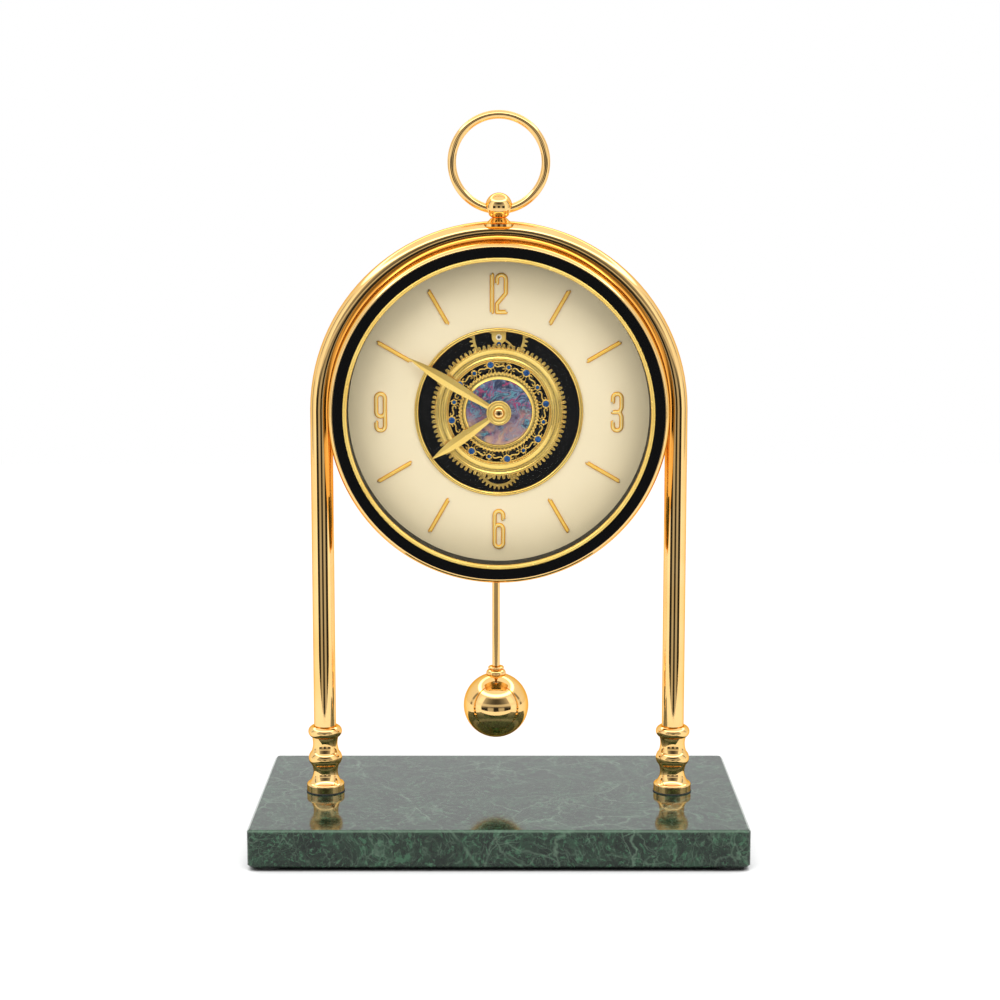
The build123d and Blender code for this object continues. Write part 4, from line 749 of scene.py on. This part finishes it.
def half_round(mesh, path, radius, front, sides=8, cap_steps=6):
    """A half-round strip along points of the dial, with rounded ends."""
    def rib(point, across):
        row = []
        for side in range(sides + 1):
            angle = pi * side / sides
            reach = across * (radius * cos(angle))
            row.append(mesh.verts.new((point.x + reach.x, -front - radius * sin(angle), point.y + reach.y)))
        return row

    def side_of(start, end):
        run = (end - start).normalized()
        return Vector((run.y, -run.x))

    ribs = []
    first = side_of(path[0], path[1])
    for step in range(cap_steps):
        ribs.append(rib(path[0], turned(first, -pi / 2 * (1 - step / cap_steps))))
    for place, point in enumerate(path):
        before = path[max(place - 1, 0)]
        after = path[min(place + 1, len(path) - 1)]
        ribs.append(rib(point, side_of(before, after)))
    last = side_of(path[-2], path[-1])
    for step in range(cap_steps):
        ribs.append(rib(path[-1], turned(last, pi / 2 * (step + 1) / cap_steps)))
    for here, there in zip(ribs, ribs[1:]):
        bridge(mesh, here, there, closed=False)
    bmesh.ops.remove_doubles(mesh, verts=mesh.verts, dist=0.001 * MM)


def turned(vector, angle):
    """A flat vector turned by an angle."""
    return Vector((
        vector.x * cos(angle) - vector.y * sin(angle),
        vector.x * sin(angle) + vector.y * cos(angle),
    ))


def arc(x, y, radius, start, end, steps=10):
    """Points of an arc, with the angles counted from the right."""
    points = []
    for step in range(steps + 1):
        angle = start + (end - start) * step / steps
        points.append(Vector((x + radius * cos(angle), y + radius * sin(angle))))
    return points


# Pieces
class CLOCK_OT_slab(bpy.types.Operator):
    """Dress the marble slab, the pads under it and the bolts of the columns"""

    bl_idname = "clock.slab"
    bl_label = "Marble slab"

    def execute(self, context):
        dress(green_marble(), "marble_base")
        dress(black_rubber(), "rubber_feet")
        dress(bright_steel(), "base_bolts")
        return {"FINISHED"}


class CLOCK_OT_arch(bpy.types.Operator):
    """Dress the arch, its turned feet, the finial and the carry ring"""

    bl_idname = "clock.arch"
    bl_label = "Arch and finial"

    def execute(self, context):
        dress(polished_gold(), "arch_tube", "left_column_foot", "right_column_foot")
        dress(polished_gold(), "finial_collar", "finial_ball", "carry_ring")
        foot_shadow_rings()
        dress(bright_steel(), "finial_stud", "stud_nut")
        return {"FINISHED"}


# Dark rings under the columns that stand in for the painted contact shadow round each foot, by their reach
# past the foot and their height at the edge and at the foot
SHADOW_RING_REACH = 0.3 * MM
SHADOW_RING_EDGE = 0.5 * MM
SHADOW_RING_SEAM = 0.7 * MM


def foot_shadow_rings():
    """A thin black ring round the bottom of each foot, put there as painted contact shadow."""
    mesh = bmesh.new()
    for name in ("left_column_foot", "right_column_foot"):
        stand = middle(name)
        inner = half_width(name)

        def about(reach, turn, height, stand=stand):
            return Vector((stand.x + reach * sin(turn), stand.y + reach * cos(turn), SLAB_TOP + height))

        outer = inner + SHADOW_RING_REACH
        lathe(mesh, [(inner, 0.0), (outer, 0.0), (outer, SHADOW_RING_EDGE), (inner, SHADOW_RING_SEAM)], 64, about)
    return add_piece("foot_shadow_rings", mesh, black_rubber(), "clock")


class CLOCK_OT_case(bpy.types.Operator):
    """Dress the bezel, the rings in it, the drum and the rear cover"""

    bl_idname = "clock.case"
    bl_label = "Case"

    def execute(self, context):
        dress(polished_gold(), "bezel")
        dress(soft_gold(), "sight_ring")
        dress(black_enamel(), "black_bezel_ring")
        dress(dial_wall(), "dial_wall")
        dress(brushed_gold(), "case_drum")
        dress(plain_brass(), "dial_seat", "cover_seat")
        dress(clear_glass(), "front_glass")
        dress(spun_black(), "rear_cover")
        dress(bright_steel(), "case_screws")
        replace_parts(slotted_screws(context.scene.clock_sizes), "rear_screws")
        return {"FINISHED"}


# Screws of the rear cover, with the slots' turns in degrees and parts of the head as shares of it
SCREW_CORNERS = ((-1, -1), (-1, 1), (1, 1), (1, -1))
FIRST_SLOT = 25
NEXT_SLOT = 40
SLOT_HALF = 0.16
RIM_SHARE = 0.55
TOP_SHARE = 0.42
NEAR_AXIS = 0.02 * MM


def slotted_screws(sizes):
    """The four screws of the rear cover, with low heads and slots."""
    mesh = bmesh.new()
    steps = 14
    head = sizes.screw_head / 2
    shank = sizes.screw_shank / 2
    reach = half_width("rear_screws") - head
    head_top = back_of("rear_screws")
    shank_end = front_of("rear_screws")
    seat = back_of("rear_cover")
    rim = seat + RIM_SHARE * (head_top - seat)
    for number, (side, up) in enumerate(SCREW_CORNERS):
        corner = CENTRE + Vector((side * reach, 0.0, up * reach))
        about = round_point(corner, radians(FIRST_SLOT + NEXT_SLOT * number))
        outline = [(NEAR_AXIS, shank_end), (shank, shank_end), (shank, seat)]
        outline += [(head, seat), (head, rim), (NEAR_AXIS, rim)]
        lathe(mesh, outline, 2 * steps, about)
        for half in (0.0, pi):
            turns = [half + SLOT_HALF + (pi - 2 * SLOT_HALF) * step / steps for step in range(steps + 1)]
            foot = [mesh.verts.new(about(head, turn, rim)) for turn in turns]
            top = [mesh.verts.new(about(TOP_SHARE * sizes.screw_head, turn, head_top)) for turn in turns]
            mesh.faces.new(foot)
            mesh.faces.new(top)
            bridge(mesh, foot, top)
    return add_piece("slotted_screws", mesh, bright_steel(), "clock")


class CLOCK_OT_dial(bpy.types.Operator):
    """Dress the dial and lay on its half-round batons and figures"""

    bl_idname = "clock.dial"
    bl_label = "Dial"

    def execute(self, context):
        dress(cream_dial(), "dial_plate")
        dress(satin_gold(), "opening_rim")
        sizes = context.scene.clock_sizes
        face = front_of("dial_plate")
        batons = bmesh.new()
        for hour in (1, 2, 4, 5, 7, 8, 10, 11):
            angle = hour * tau / 12
            ends = []
            for radius in (sizes.baton_in, sizes.baton_out):
                tip = on_face(radius, angle, face)
                ends.append(Vector((tip.x, tip.z)))
            half_round(batons, inset(ends, sizes.baton_width / 2), sizes.baton_width / 2, face)
        piece = add_piece("half_round_batons", batons, figure_gold(), "clock")
        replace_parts(piece, "hour_batons")
        figures = bmesh.new()
        for hour, strokes in figure_strokes(sizes):
            middle_point = on_face(sizes.numeral_radius, hour * tau / 12, face)
            place = Vector((middle_point.x, middle_point.z))
            for stroke in strokes:
                half_round(figures, [place + point for point in stroke], sizes.stroke / 2, face)
        piece = add_piece("half_round_figures", figures, figure_gold(), "clock")
        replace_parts(piece, "hour_numerals")
        return {"FINISHED"}


def inset(ends, amount):
    """A straight path drawn in by the reach of its rounded ends."""
    run = (ends[1] - ends[0]).normalized()
    return [ends[0] + run * amount, ends[1] - run * amount]


def figure_strokes(sizes):
    """The strokes of twelve, three, six and nine about each figure's own middle."""
    half_x = (sizes.numeral_wide - sizes.stroke) / 2
    half_y = (sizes.numeral_tall - sizes.stroke) / 2
    bowl_y = half_y - half_x
    hook_y = sizes.numeral_tall / 4
    pair_x = (sizes.stroke + sizes.numeral_space) / 2

    def line(*points):
        return [Vector(point) for point in points]

    bar_x = -pair_x - half_x
    left_x = pair_x - half_x
    right_x = pair_x + half_x
    two = line((left_x, hook_y)) + arc(pair_x, bowl_y, half_x, pi, 0.0)
    two += line((right_x, 0.0), (left_x, -hook_y), (left_x, -half_y))
    twelve = [line((bar_x, -half_y), (bar_x, half_y)), two, line((left_x, -half_y), (right_x, -half_y))]
    three = [line((-half_x, 0.0), (half_x / 2, 0.0))]
    for way in (1, -1):
        hook = line((-half_x, way * hook_y)) + arc(0.0, way * bowl_y, half_x, pi, pi - way * pi)
        three.append(hook + line((half_x, way * half_x), (half_x / 2, 0.0)))
    pairs = [(12, twelve), (3, three)]
    for hour, way in ((6, -1), (9, 1)):
        loop_y = way * (half_x - sizes.stroke)
        stem = line((way * half_x, -way * bowl_y), (way * half_x, way * bowl_y))
        turn = 0.0 if way > 0 else pi
        round_top = arc(0.0, way * bowl_y, half_x, turn, turn + pi)
        loop = round_top + arc(0.0, loop_y, half_x, pi - turn, tau - turn)
        tail = arc(0.0, -way * bowl_y, half_x, turn, turn - pi)
        tail += line((-way * half_x, -way * hook_y))
        pairs.append((hour, [stem, loop, tail]))
    return pairs


class CLOCK_OT_display_wheel(bpy.types.Operator):
    """Dress the toothed ring and make its openwork, jewels and granulated ring"""

    bl_idname = "clock.display_wheel"
    bl_label = "Display wheel"

    def execute(self, context):
        sizes = context.scene.clock_sizes
        dress(turned_gold(), "ring_gear")
        soften(0.16 * MM, "ring_gear")
        dress(shell(), "shell_disc")
        dress(plain_brass(), "display_sleeve")
        dress(blackened_steel(), "upper_drive_gear", "lower_drive_gear")
        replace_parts(openwork_frame(sizes), "filigree")
        openwork_scrolls(sizes)
        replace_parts(cut_jewels(sizes), "blue_jewels")
        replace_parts(granulated_ring(sizes), "inner_ring")
        return {"FINISHED"}


def jewel_places(sizes):
    """The angle, radius and width of each jewel, large and small by turns."""
    step = tau / sizes.jewel_pairs
    for pair in range(sizes.jewel_pairs):
        large_at = sizes.jewel_turn + pair * step
        yield large_at, sizes.large_radius, sizes.large_jewel
        yield large_at + step / 2, sizes.small_radius, sizes.small_jewel


# Floor, rim, hub and settings of the openwork
FLOOR_DEPTH = 0.8 * MM
RIM_WIDTH = 0.9 * MM
RIM_EDGE = 0.2 * MM
UNDER_RING = 0.9 * MM
UNDER_SLEEVE = 3.0 * MM
LIP_HEIGHT = 0.35 * MM
LIP_EDGE = 0.1 * MM
LIP_CORNER = 0.09 * MM
LIP_TOP = 0.28 * MM
LARGE_PRONGS = 8
SMALL_PRONGS = 6
PRONG_RADIUS = 0.34 * MM
PIN_HOLE = 0.2 * MM


def openwork_face():
    """The front of the openwork's floor, a little behind the shell."""
    return front_of("shell_disc") - FLOOR_DEPTH


def openwork_frame(sizes):
    """The rim and the hub of the openwork, with a setting for each jewel."""
    back = back_of("ring_gear")
    face = openwork_face()
    rim = half_width("filigree")
    hub = half_width("inner_ring") - UNDER_RING
    bore = half_width("display_sleeve") - UNDER_SLEEVE
    seat = front_of("filigree")
    lip = seat - LIP_HEIGHT
    mesh = bmesh.new()
    lathe(mesh, [
        (rim, back), (rim, face), (rim - RIM_EDGE, face + RIM_EDGE),
        (rim - RIM_WIDTH + RIM_EDGE, face + RIM_EDGE), (rim - RIM_WIDTH, face), (rim - RIM_WIDTH, back),
    ], 160)
    lathe(mesh, [(hub, back), (hub, face), (bore, face), (bore, back)], 120)
    for angle, radius, width in jewel_places(sizes):
        about = round_point(on_face(radius, angle, 0.0))
        inner = width / 2
        outer = inner + sizes.setting_wall
        lathe(mesh, [
            (outer, back), (outer, lip), (outer - LIP_CORNER, seat - LIP_EDGE), (outer - LIP_TOP, seat),
            (inner + LIP_EDGE, seat - LIP_EDGE), (inner, lip), (inner, face),
            (PIN_HOLE, face), (PIN_HOLE, back),
        ], 24, about)
        prongs = LARGE_PRONGS if width == sizes.large_jewel else SMALL_PRONGS
        for prong in range(prongs):
            grain(mesh, about(outer, tau * prong / prongs, lip), PRONG_RADIUS)
    return add_piece("openwork_frame", mesh, satin_gold(), "display_wheel", radians(65))


def s_scroll(size, reach=1.75, steps=44):
    """Points of a scroll whose bend grows steadily toward both of its ends."""
    half = []
    x = y = 0.0
    step = reach / (steps / 2)
    for number in range(steps // 2):
        middle_turn = pi / 2 * ((number + 0.5) * step) ** 2
        x += cos(middle_turn) * step
        y += sin(middle_turn) * step
        half.append(Vector((x, y)))
    points = [-point for point in reversed(half)] + [Vector((0.0, 0.0))] + half
    return [point * size for point in points]


# Scrolls and spurs of the openwork, with the wire's thickness at its ends and its swelling as shares
SCROLL_PLACE = 0.52
SCROLL_LEAN = radians(-20)
SPUR_SHARES = (0.27, -0.27)
SPUR_LEAN = 9
SPUR_ROOT = 0.4 * MM
SPUR_REACH = 1.2 * MM
STAY_ROOT = 0.3 * MM
STAY_END = 0.2 * MM
RIM_MIDDLE = 0.5 * MM
WIRE_END = 0.6
WIRE_SWELL = 0.5


def openwork_scrolls(sizes):
    """Wire scrolls between the settings, in mirrored pairs."""
    curve = bpy.data.curves.new("openwork_scrolls", "CURVE")
    curve.dimensions = "3D"
    curve.bevel_depth = sizes.wire / 2
    curve.bevel_resolution = 2
    curve.use_fill_caps = True
    front = openwork_face() - sizes.wire / 3
    hub = half_width("inner_ring")
    rim = half_width("filigree") - RIM_MIDDLE
    field = (hub + rim) / 2

    def wire(points):
        spline = curve.splines.new("POLY")
        spline.points.add(len(points) - 1)
        for number, (knot, point) in enumerate(zip(spline.points, points)):
            knot.co = (*point, 1.0)
            knot.radius = WIRE_END + WIRE_SWELL * sin(pi * number / (len(points) - 1))

    step = tau / sizes.jewel_pairs
    for pair in range(2 * sizes.jewel_pairs):
        at = sizes.jewel_turn + (pair + SCROLL_PLACE) * step / 2
        way = 1 if pair % 2 else -1
        points = []
        for point in s_scroll(sizes.scroll):
            lean = turned(Vector((way * point.x, point.y)), way * SCROLL_LEAN)
            points.append(on_face(field + lean.y, at + lean.x / field, front))
        wire(points)
        for share in SPUR_SHARES:
            foot = at + share * step / 2
            tip = on_face(hub + SPUR_REACH, foot + share / SPUR_LEAN, front)
            wire([on_face(hub - SPUR_ROOT, foot, front), tip])
    for angle, radius, width in jewel_places(sizes):
        reach = width / 2 + sizes.setting_wall
        wire([on_face(hub - STAY_ROOT, angle, front), on_face(radius - reach, angle, front)])
        wire([on_face(radius + reach, angle, front), on_face(rim + STAY_END, angle, front)])
    curve.materials.append(satin_gold())
    piece = put("openwork_scrolls", curve)
    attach(piece, "display_wheel")
    return piece


# Cut of the stones, with the table as a share of the width
FACETS = 8
STONE_PLAY = 0.02 * MM
CROWN_HEIGHT = 0.45 * MM
TABLE_SHARE = 0.58


def cut_jewels(sizes):
    """Round stones with crown facets and a flat table."""
    mesh = bmesh.new()
    face = openwork_face()
    seat = front_of("blue_jewels")
    sides = 2 * FACETS
    for angle, radius, width in jewel_places(sizes):
        girdle = width / 2 - STONE_PLAY
        about = round_point(on_face(radius, angle, 0.0))

        def ring(reach, front, count, turn, about=about):
            turns = [tau * (number + turn) / count for number in range(count)]
            return [mesh.verts.new(about(reach, at, front)) for at in turns]

        low = ring(girdle, face, sides, 0.0)
        belt = ring(girdle, seat - CROWN_HEIGHT, sides, 0.0)
        table = ring(TABLE_SHARE * girdle, seat, FACETS, 0.5)
        mesh.faces.new(low)
        mesh.faces.new(table)
        bridge(mesh, low, belt)
        for number in range(FACETS):
            left = belt[2 * number]
            mid = belt[2 * number + 1]
            right = belt[(2 * number + 2) % sides]
            corner = table[number]
            mesh.faces.new((left, mid, corner))
            mesh.faces.new((mid, right, corner))
            mesh.faces.new((right, table[(number + 1) % FACETS], corner))
    return add_piece("cut_blue_jewels", mesh, blue_stone(), "display_wheel", radians(5))


# Granulated ring: millimetres inward from the outer row or outward from the bore, and back from the front
ROW_OUTLINE = ((0.0, 0.55), (0.5, 0.5))
LIP_OUTLINE = ((1.9, 0.25), (1.1, 0.45), (0.75, 0.15), (0.45, 0.0), (0.15, 0.1), (0.0, 0.35))
BORE_PLAY = 0.03 * MM
INNER_ROW = 1.05 * MM
INNER_DEPTH = 0.45 * MM
INNER_GRAIN = 0.42 * MM


def granulated_ring(sizes):
    """The ring round the shell: a bright lip, a hollow band and two rows of grains."""
    mesh = bmesh.new()
    back = back_of("inner_ring")
    face = front_of("inner_ring")
    outer = half_width("inner_ring")
    inner = half_width("shell_disc") + BORE_PLAY
    row = outer - sizes.grain / 2
    outline = [(inner, back), (row, back)]
    outline += [(row - inward * MM, face - down * MM) for inward, down in ROW_OUTLINE]
    outline += [(inner + out * MM, face - down * MM) for out, down in LIP_OUTLINE]
    lathe(mesh, outline, 160)
    for number in range(sizes.grains):
        angle = tau * number / sizes.grains
        grain(mesh, on_face(row, angle, face - sizes.grain / 2), sizes.grain / 2)
        between = angle + pi / sizes.grains
        grain(mesh, on_face(row - INNER_ROW, between, face - INNER_DEPTH), INNER_GRAIN)
    return add_piece("granulated_ring", mesh, satin_gold(), "display_wheel")


class CLOCK_OT_train(bpy.types.Operator):
    """Dress the upper and lower wheels, the cock and the well behind them"""

    bl_idname = "clock.train"
    bl_label = "Gear train"

    def execute(self, context):
        dress(soft_gold(), "upper_wheel", "lower_wheel", "upper_cock")
        soften(0.3 * MM, "upper_wheel", "lower_wheel", "upper_cock")
        dress(bright_steel(), "upper_arbor", "lower_stud")
        dress(bearing_stone(), "cock_jewel")
        dress(blue_stone(), "cap_jewel")
        dress(black_enamel(), "gear_well")
        return {"FINISHED"}


class CLOCK_OT_hands(bpy.types.Operator):
    """Dress the hands, their arbors and the cap"""

    bl_idname = "clock.hands"
    bl_label = "Hands"

    def execute(self, context):
        dress(hand_gold(), "hour_hand", "minute_hand")
        dress(polished_gold(), "hand_cap")
        dress(plain_brass(), "hour_pipe", "minute_arbor")
        return {"FINISHED"}


class CLOCK_OT_movement(bpy.types.Operator):
    """Dress the movement, its cell and the setting knob"""

    bl_idname = "clock.movement"
    bl_label = "Movement"

    def execute(self, context):
        dress(black_plastic(), "movement_housing", "setting_knob")
        soften(0.7 * MM, "movement_housing")
        soften(0.3 * MM, "setting_knob")
        dress(plain_brass(), "movement_bush", "bush_nut")
        dress(bright_steel(), "battery_contacts")
        dress(cell_wrap(), "battery")
        return {"FINISHED"}


class CLOCK_OT_pendulum(bpy.types.Operator):
    """Dress the pendulum and the bracket that it hangs on"""

    bl_idname = "clock.pendulum"
    bl_label = "Pendulum"

    def execute(self, context):
        dress(polished_gold(), "pendulum_rod", "pendulum_pommel", "pendulum_bob")
        dress(plain_brass(), "pendulum_bracket", "pendulum_eye")
        dress(bright_steel(), "pivot_pin")
        return {"FINISHED"}


# Stage
# Levels of the tent by degrees from straight ahead, below and above the horizon, and of its crown by the rise
LOW_BANDS = (
    (0.0, 0.02), (7.0, 0.03), (11.0, 0.5), (27.0, 0.55), (31.0, 0.03), (52.0, 0.02), (55.0, 1.25),
    (70.0, 1.25), (76.0, 1.0), (94.0, 0.95), (96.0, 0.2), (103.0, 0.2), (106.0, 0.95), (180.0, 1.0),
)
HIGH_BANDS = (
    (0.0, 0.06), (20.0, 0.1), (38.0, 0.25), (53.0, 0.5), (57.0, 1.25), (72.0, 1.25),
    (78.0, 1.0), (94.0, 0.95), (96.0, 0.3), (103.0, 0.3), (106.0, 0.95), (180.0, 1.0),
)
CROWN_BANDS = ((37.8, 1.0), (40.5, 3.6), (45.9, 3.6), (49.5, 1.1), (72.0, 1.1), (90.0, 0.9))
BRIGHTEST = 3.6
WHITE = (1.0, 1.0, 1.0, 1.0)

# How far the bands lean with the rise, and the pale strip above the horizon
BAND_LEAN = 0.37
STRIP_RISE = radians(8)
STRIP_LEVEL = 0.6

# Places and sizes of the lamps, and the share of its own light that the open floor shows
LEFT_LAMP = (-1.0, -1.2, 0.7)
RIGHT_LAMP = (1.0, -1.2, 0.7)
TOP_LAMP = (0.0, -0.5, 1.5)
FRONT_LAMP_SIZE = 0.9
TOP_LAMP_SIZE = 1.0
FLOOR_GLOW = 0.62


def levels(angle, bands):
    """The tent's level by an angle, through stops in degrees."""
    span = bands[-1][0]
    stops = [(degrees / span, grey(level / BRIGHTEST)) for degrees, level in bands]
    return ramp(sums("DIVIDE", angle, radians(span)), stops)


def tent_light(tree):
    """The level of the white tent and of the dark gaps in it, by direction."""
    parts = parts_of(node("TexCoord", {}, tree).outputs["Generated"])
    side = sums("ABSOLUTE", parts["X"])
    ahead = sums("MULTIPLY", parts["Y"], -1.0)
    rise = sums("ARCSINE", parts["Z"])
    lean = sums("MULTIPLY", sums("MAXIMUM", rise, 0.0), BAND_LEAN)
    turn = sums("ADD", sums("ARCTAN2", side, ahead), lean)
    above = spread(rise, 0.0, 1.0, radians(-3), radians(4))
    bands = tint(above, levels(turn, LOW_BANDS), levels(turn, HIGH_BANDS))
    plain = grey(1.0 / BRIGHTEST)
    near_strip = sums("ABSOLUTE", sums("SUBTRACT", rise, STRIP_RISE))
    bands = tint(spread(near_strip, STRIP_LEVEL, 0.0, radians(3), radians(5)), bands, plain)
    bands = tint(spread(rise, 1.0, 0.0, radians(-20), radians(-15)), bands, plain)
    high = spread(rise, 0.0, 1.0, radians(31), radians(36))
    return tint(high, bands, levels(rise, CROWN_BANDS))


def set_world(scene):
    """A white tent with a dark gap where the camera stands. The camera itself sees plain white."""
    world = bpy.data.worlds.new("studio")
    scene.world = world
    world.use_nodes = True
    tree = world.node_tree
    tree.nodes.clear()
    path = node("LightPath", {}, tree).outputs
    tent = node("Background", {"Color": tent_light(tree), "Strength": BRIGHTEST})
    white = node("Background", {"Color": WHITE, "Strength": 1.0}, tree)
    plain = sums("MAXIMUM", path["Is Camera Ray"], path["Is Transmission Ray"])
    mixed = node("MixShader", {0: plain, 1: tent.outputs[0], 2: white.outputs[0]})
    node("OutputWorld", {"Surface": mixed.outputs[0]})


def floor_paper(shades):
    """Pale paper that shows its own light where it lies open, with painted shade darkening its colour and its
    glow close under the slab.
    """
    material, tree, surface = new_material("studio_floor")
    fibres = noise(spot(tree), 400.0, 3.0)
    paper = tint(fibres, shades.floor, tuple(0.97 * part for part in shades.floor))
    open_sky = node("AmbientOcclusion", {"Distance": 0.04}, tree, samples=8).outputs["AO"]
    under = node("AmbientOcclusion", {"Distance": 0.012}, tree, samples=8).outputs["AO"]
    # painted shade: the paper's colour is darkened by ambient occlusion close under the slab
    deep = spread(under, 1.0, 0.0, 0.2, 0.62)
    fill(surface, {
        "Base Color": tint(deep, paper, grey(0.02)),
        "Roughness": 0.9,
        "Specular IOR Level": 0.0,
    })
    path = node("LightPath", {}, tree).outputs
    seen = sums("MAXIMUM", path["Is Camera Ray"], path["Is Glossy Ray"])
    # painted shade: the glow fades where ambient occlusion finds cover
    lit = sums("MULTIPLY", open_sky, sums("SUBTRACT", 1.0, deep))
    share = sums("MULTIPLY", sums("MULTIPLY", seen, lit), FLOOR_GLOW)
    glow = node("Emission", {"Color": WHITE, "Strength": 1.0}, tree)
    mixed = node("MixShader", {0: share, 1: surface.outputs[0], 2: glow.outputs[0]})
    fill(tree.nodes["Material Output"], {"Surface": mixed.outputs[0]})
    return material


def lay_floor(stage, shades):
    """A pale floor that stays white to the camera and keeps the clock's shadow."""
    mesh = bmesh.new()
    level = CAD_BOX[0][2]
    corners = (
        (-stage.floor_side, -stage.floor_front),
        (stage.floor_side, -stage.floor_front),
        (stage.floor_side, stage.floor_back),
        (-stage.floor_side, stage.floor_back),
    )
    mesh.faces.new([mesh.verts.new((x, y, level)) for x, y in corners])
    made = bpy.data.meshes.new("studio_floor")
    mesh.to_mesh(made)
    mesh.free()
    made.materials.append(floor_paper(shades))
    floor = put("studio_floor", made)


def hang_lamp(name, place, size, power):
    """A soft square lamp that looks at the dial and stays out of the mirror finishes."""
    light = bpy.data.lights.new(name, "AREA")
    light.energy = power
    light.size = size
    lamp = put(name, light)
    lamp.location = place
    lamp.rotation_euler = (CENTRE - Vector(place)).to_track_quat("-Z", "Y").to_euler()
    lamp.visible_glossy = False


def set_camera(scene, stage):
    """The camera that saw the photograph."""
    lens = bpy.data.cameras.new("camera")
    lens.lens = stage.lens
    camera = put("camera", lens)
    camera.location = stage.camera_place
    camera.rotation_euler = (pi / 2 - stage.camera_pitch, 0.0, 0.0)
    scene.camera = camera


class CLOCK_OT_stage(bpy.types.Operator):
    """Lay the floor and set the tent, the lamps and the camera"""

    bl_idname = "clock.stage"
    bl_label = "Studio"

    def execute(self, context):
        scene = context.scene
        stage = scene.clock_stage
        set_world(scene)
        lay_floor(stage, scene.clock_colours)
        hang_lamp("left_lamp", LEFT_LAMP, FRONT_LAMP_SIZE, stage.front_power)
        hang_lamp("right_lamp", RIGHT_LAMP, FRONT_LAMP_SIZE, stage.front_power)
        hang_lamp("top_lamp", TOP_LAMP, TOP_LAMP_SIZE, stage.top_power)
        set_camera(scene, stage)
        scene.view_settings.view_transform = "Standard"
        return {"FINISHED"}


OPERATORS = (
    CLOCK_OT_slab,
    CLOCK_OT_arch,
    CLOCK_OT_case,
    CLOCK_OT_dial,
    CLOCK_OT_display_wheel,
    CLOCK_OT_train,
    CLOCK_OT_hands,
    CLOCK_OT_movement,
    CLOCK_OT_pendulum,
    CLOCK_OT_stage,
)


class CLOCK_PT_panel(bpy.types.Panel):
    """Lists the clock's pieces and their settings"""

    bl_idname = "CLOCK_PT_panel"
    bl_label = "Desk Pendulum Clock"
    bl_space_type = "VIEW_3D"
    bl_region_type = "UI"
    bl_category = "Clock"

    def draw(self, context):
        layout = self.layout
        for kind in OPERATORS:
            layout.operator(kind.bl_idname)
        for group in (context.scene.clock_colours, context.scene.clock_sizes, context.scene.clock_stage):
            box = layout.box()
            for name in group.__annotations__:
                box.prop(group, name)


GROUPS = (ClockColours, ClockSizes, ClockStage)
CLASSES = (*GROUPS, *OPERATORS, CLOCK_PT_panel)


def register():
    for kind in CLASSES:
        bpy.utils.register_class(kind)
    bpy.types.Scene.clock_colours = PointerProperty(type=ClockColours)
    bpy.types.Scene.clock_sizes = PointerProperty(type=ClockSizes)
    bpy.types.Scene.clock_stage = PointerProperty(type=ClockStage)


def unregister():
    del bpy.types.Scene.clock_stage
    del bpy.types.Scene.clock_sizes
    del bpy.types.Scene.clock_colours
    for kind in reversed(CLASSES):
        bpy.utils.unregister_class(kind)


def main():
    register()
    bpy.ops.clock.slab()
    bpy.ops.clock.arch()
    bpy.ops.clock.case()
    bpy.ops.clock.dial()
    bpy.ops.clock.display_wheel()
    bpy.ops.clock.train()
    bpy.ops.clock.hands()
    bpy.ops.clock.movement()
    bpy.ops.clock.pendulum()
    bpy.ops.clock.stage()


if __name__ == "__main__":
    main()
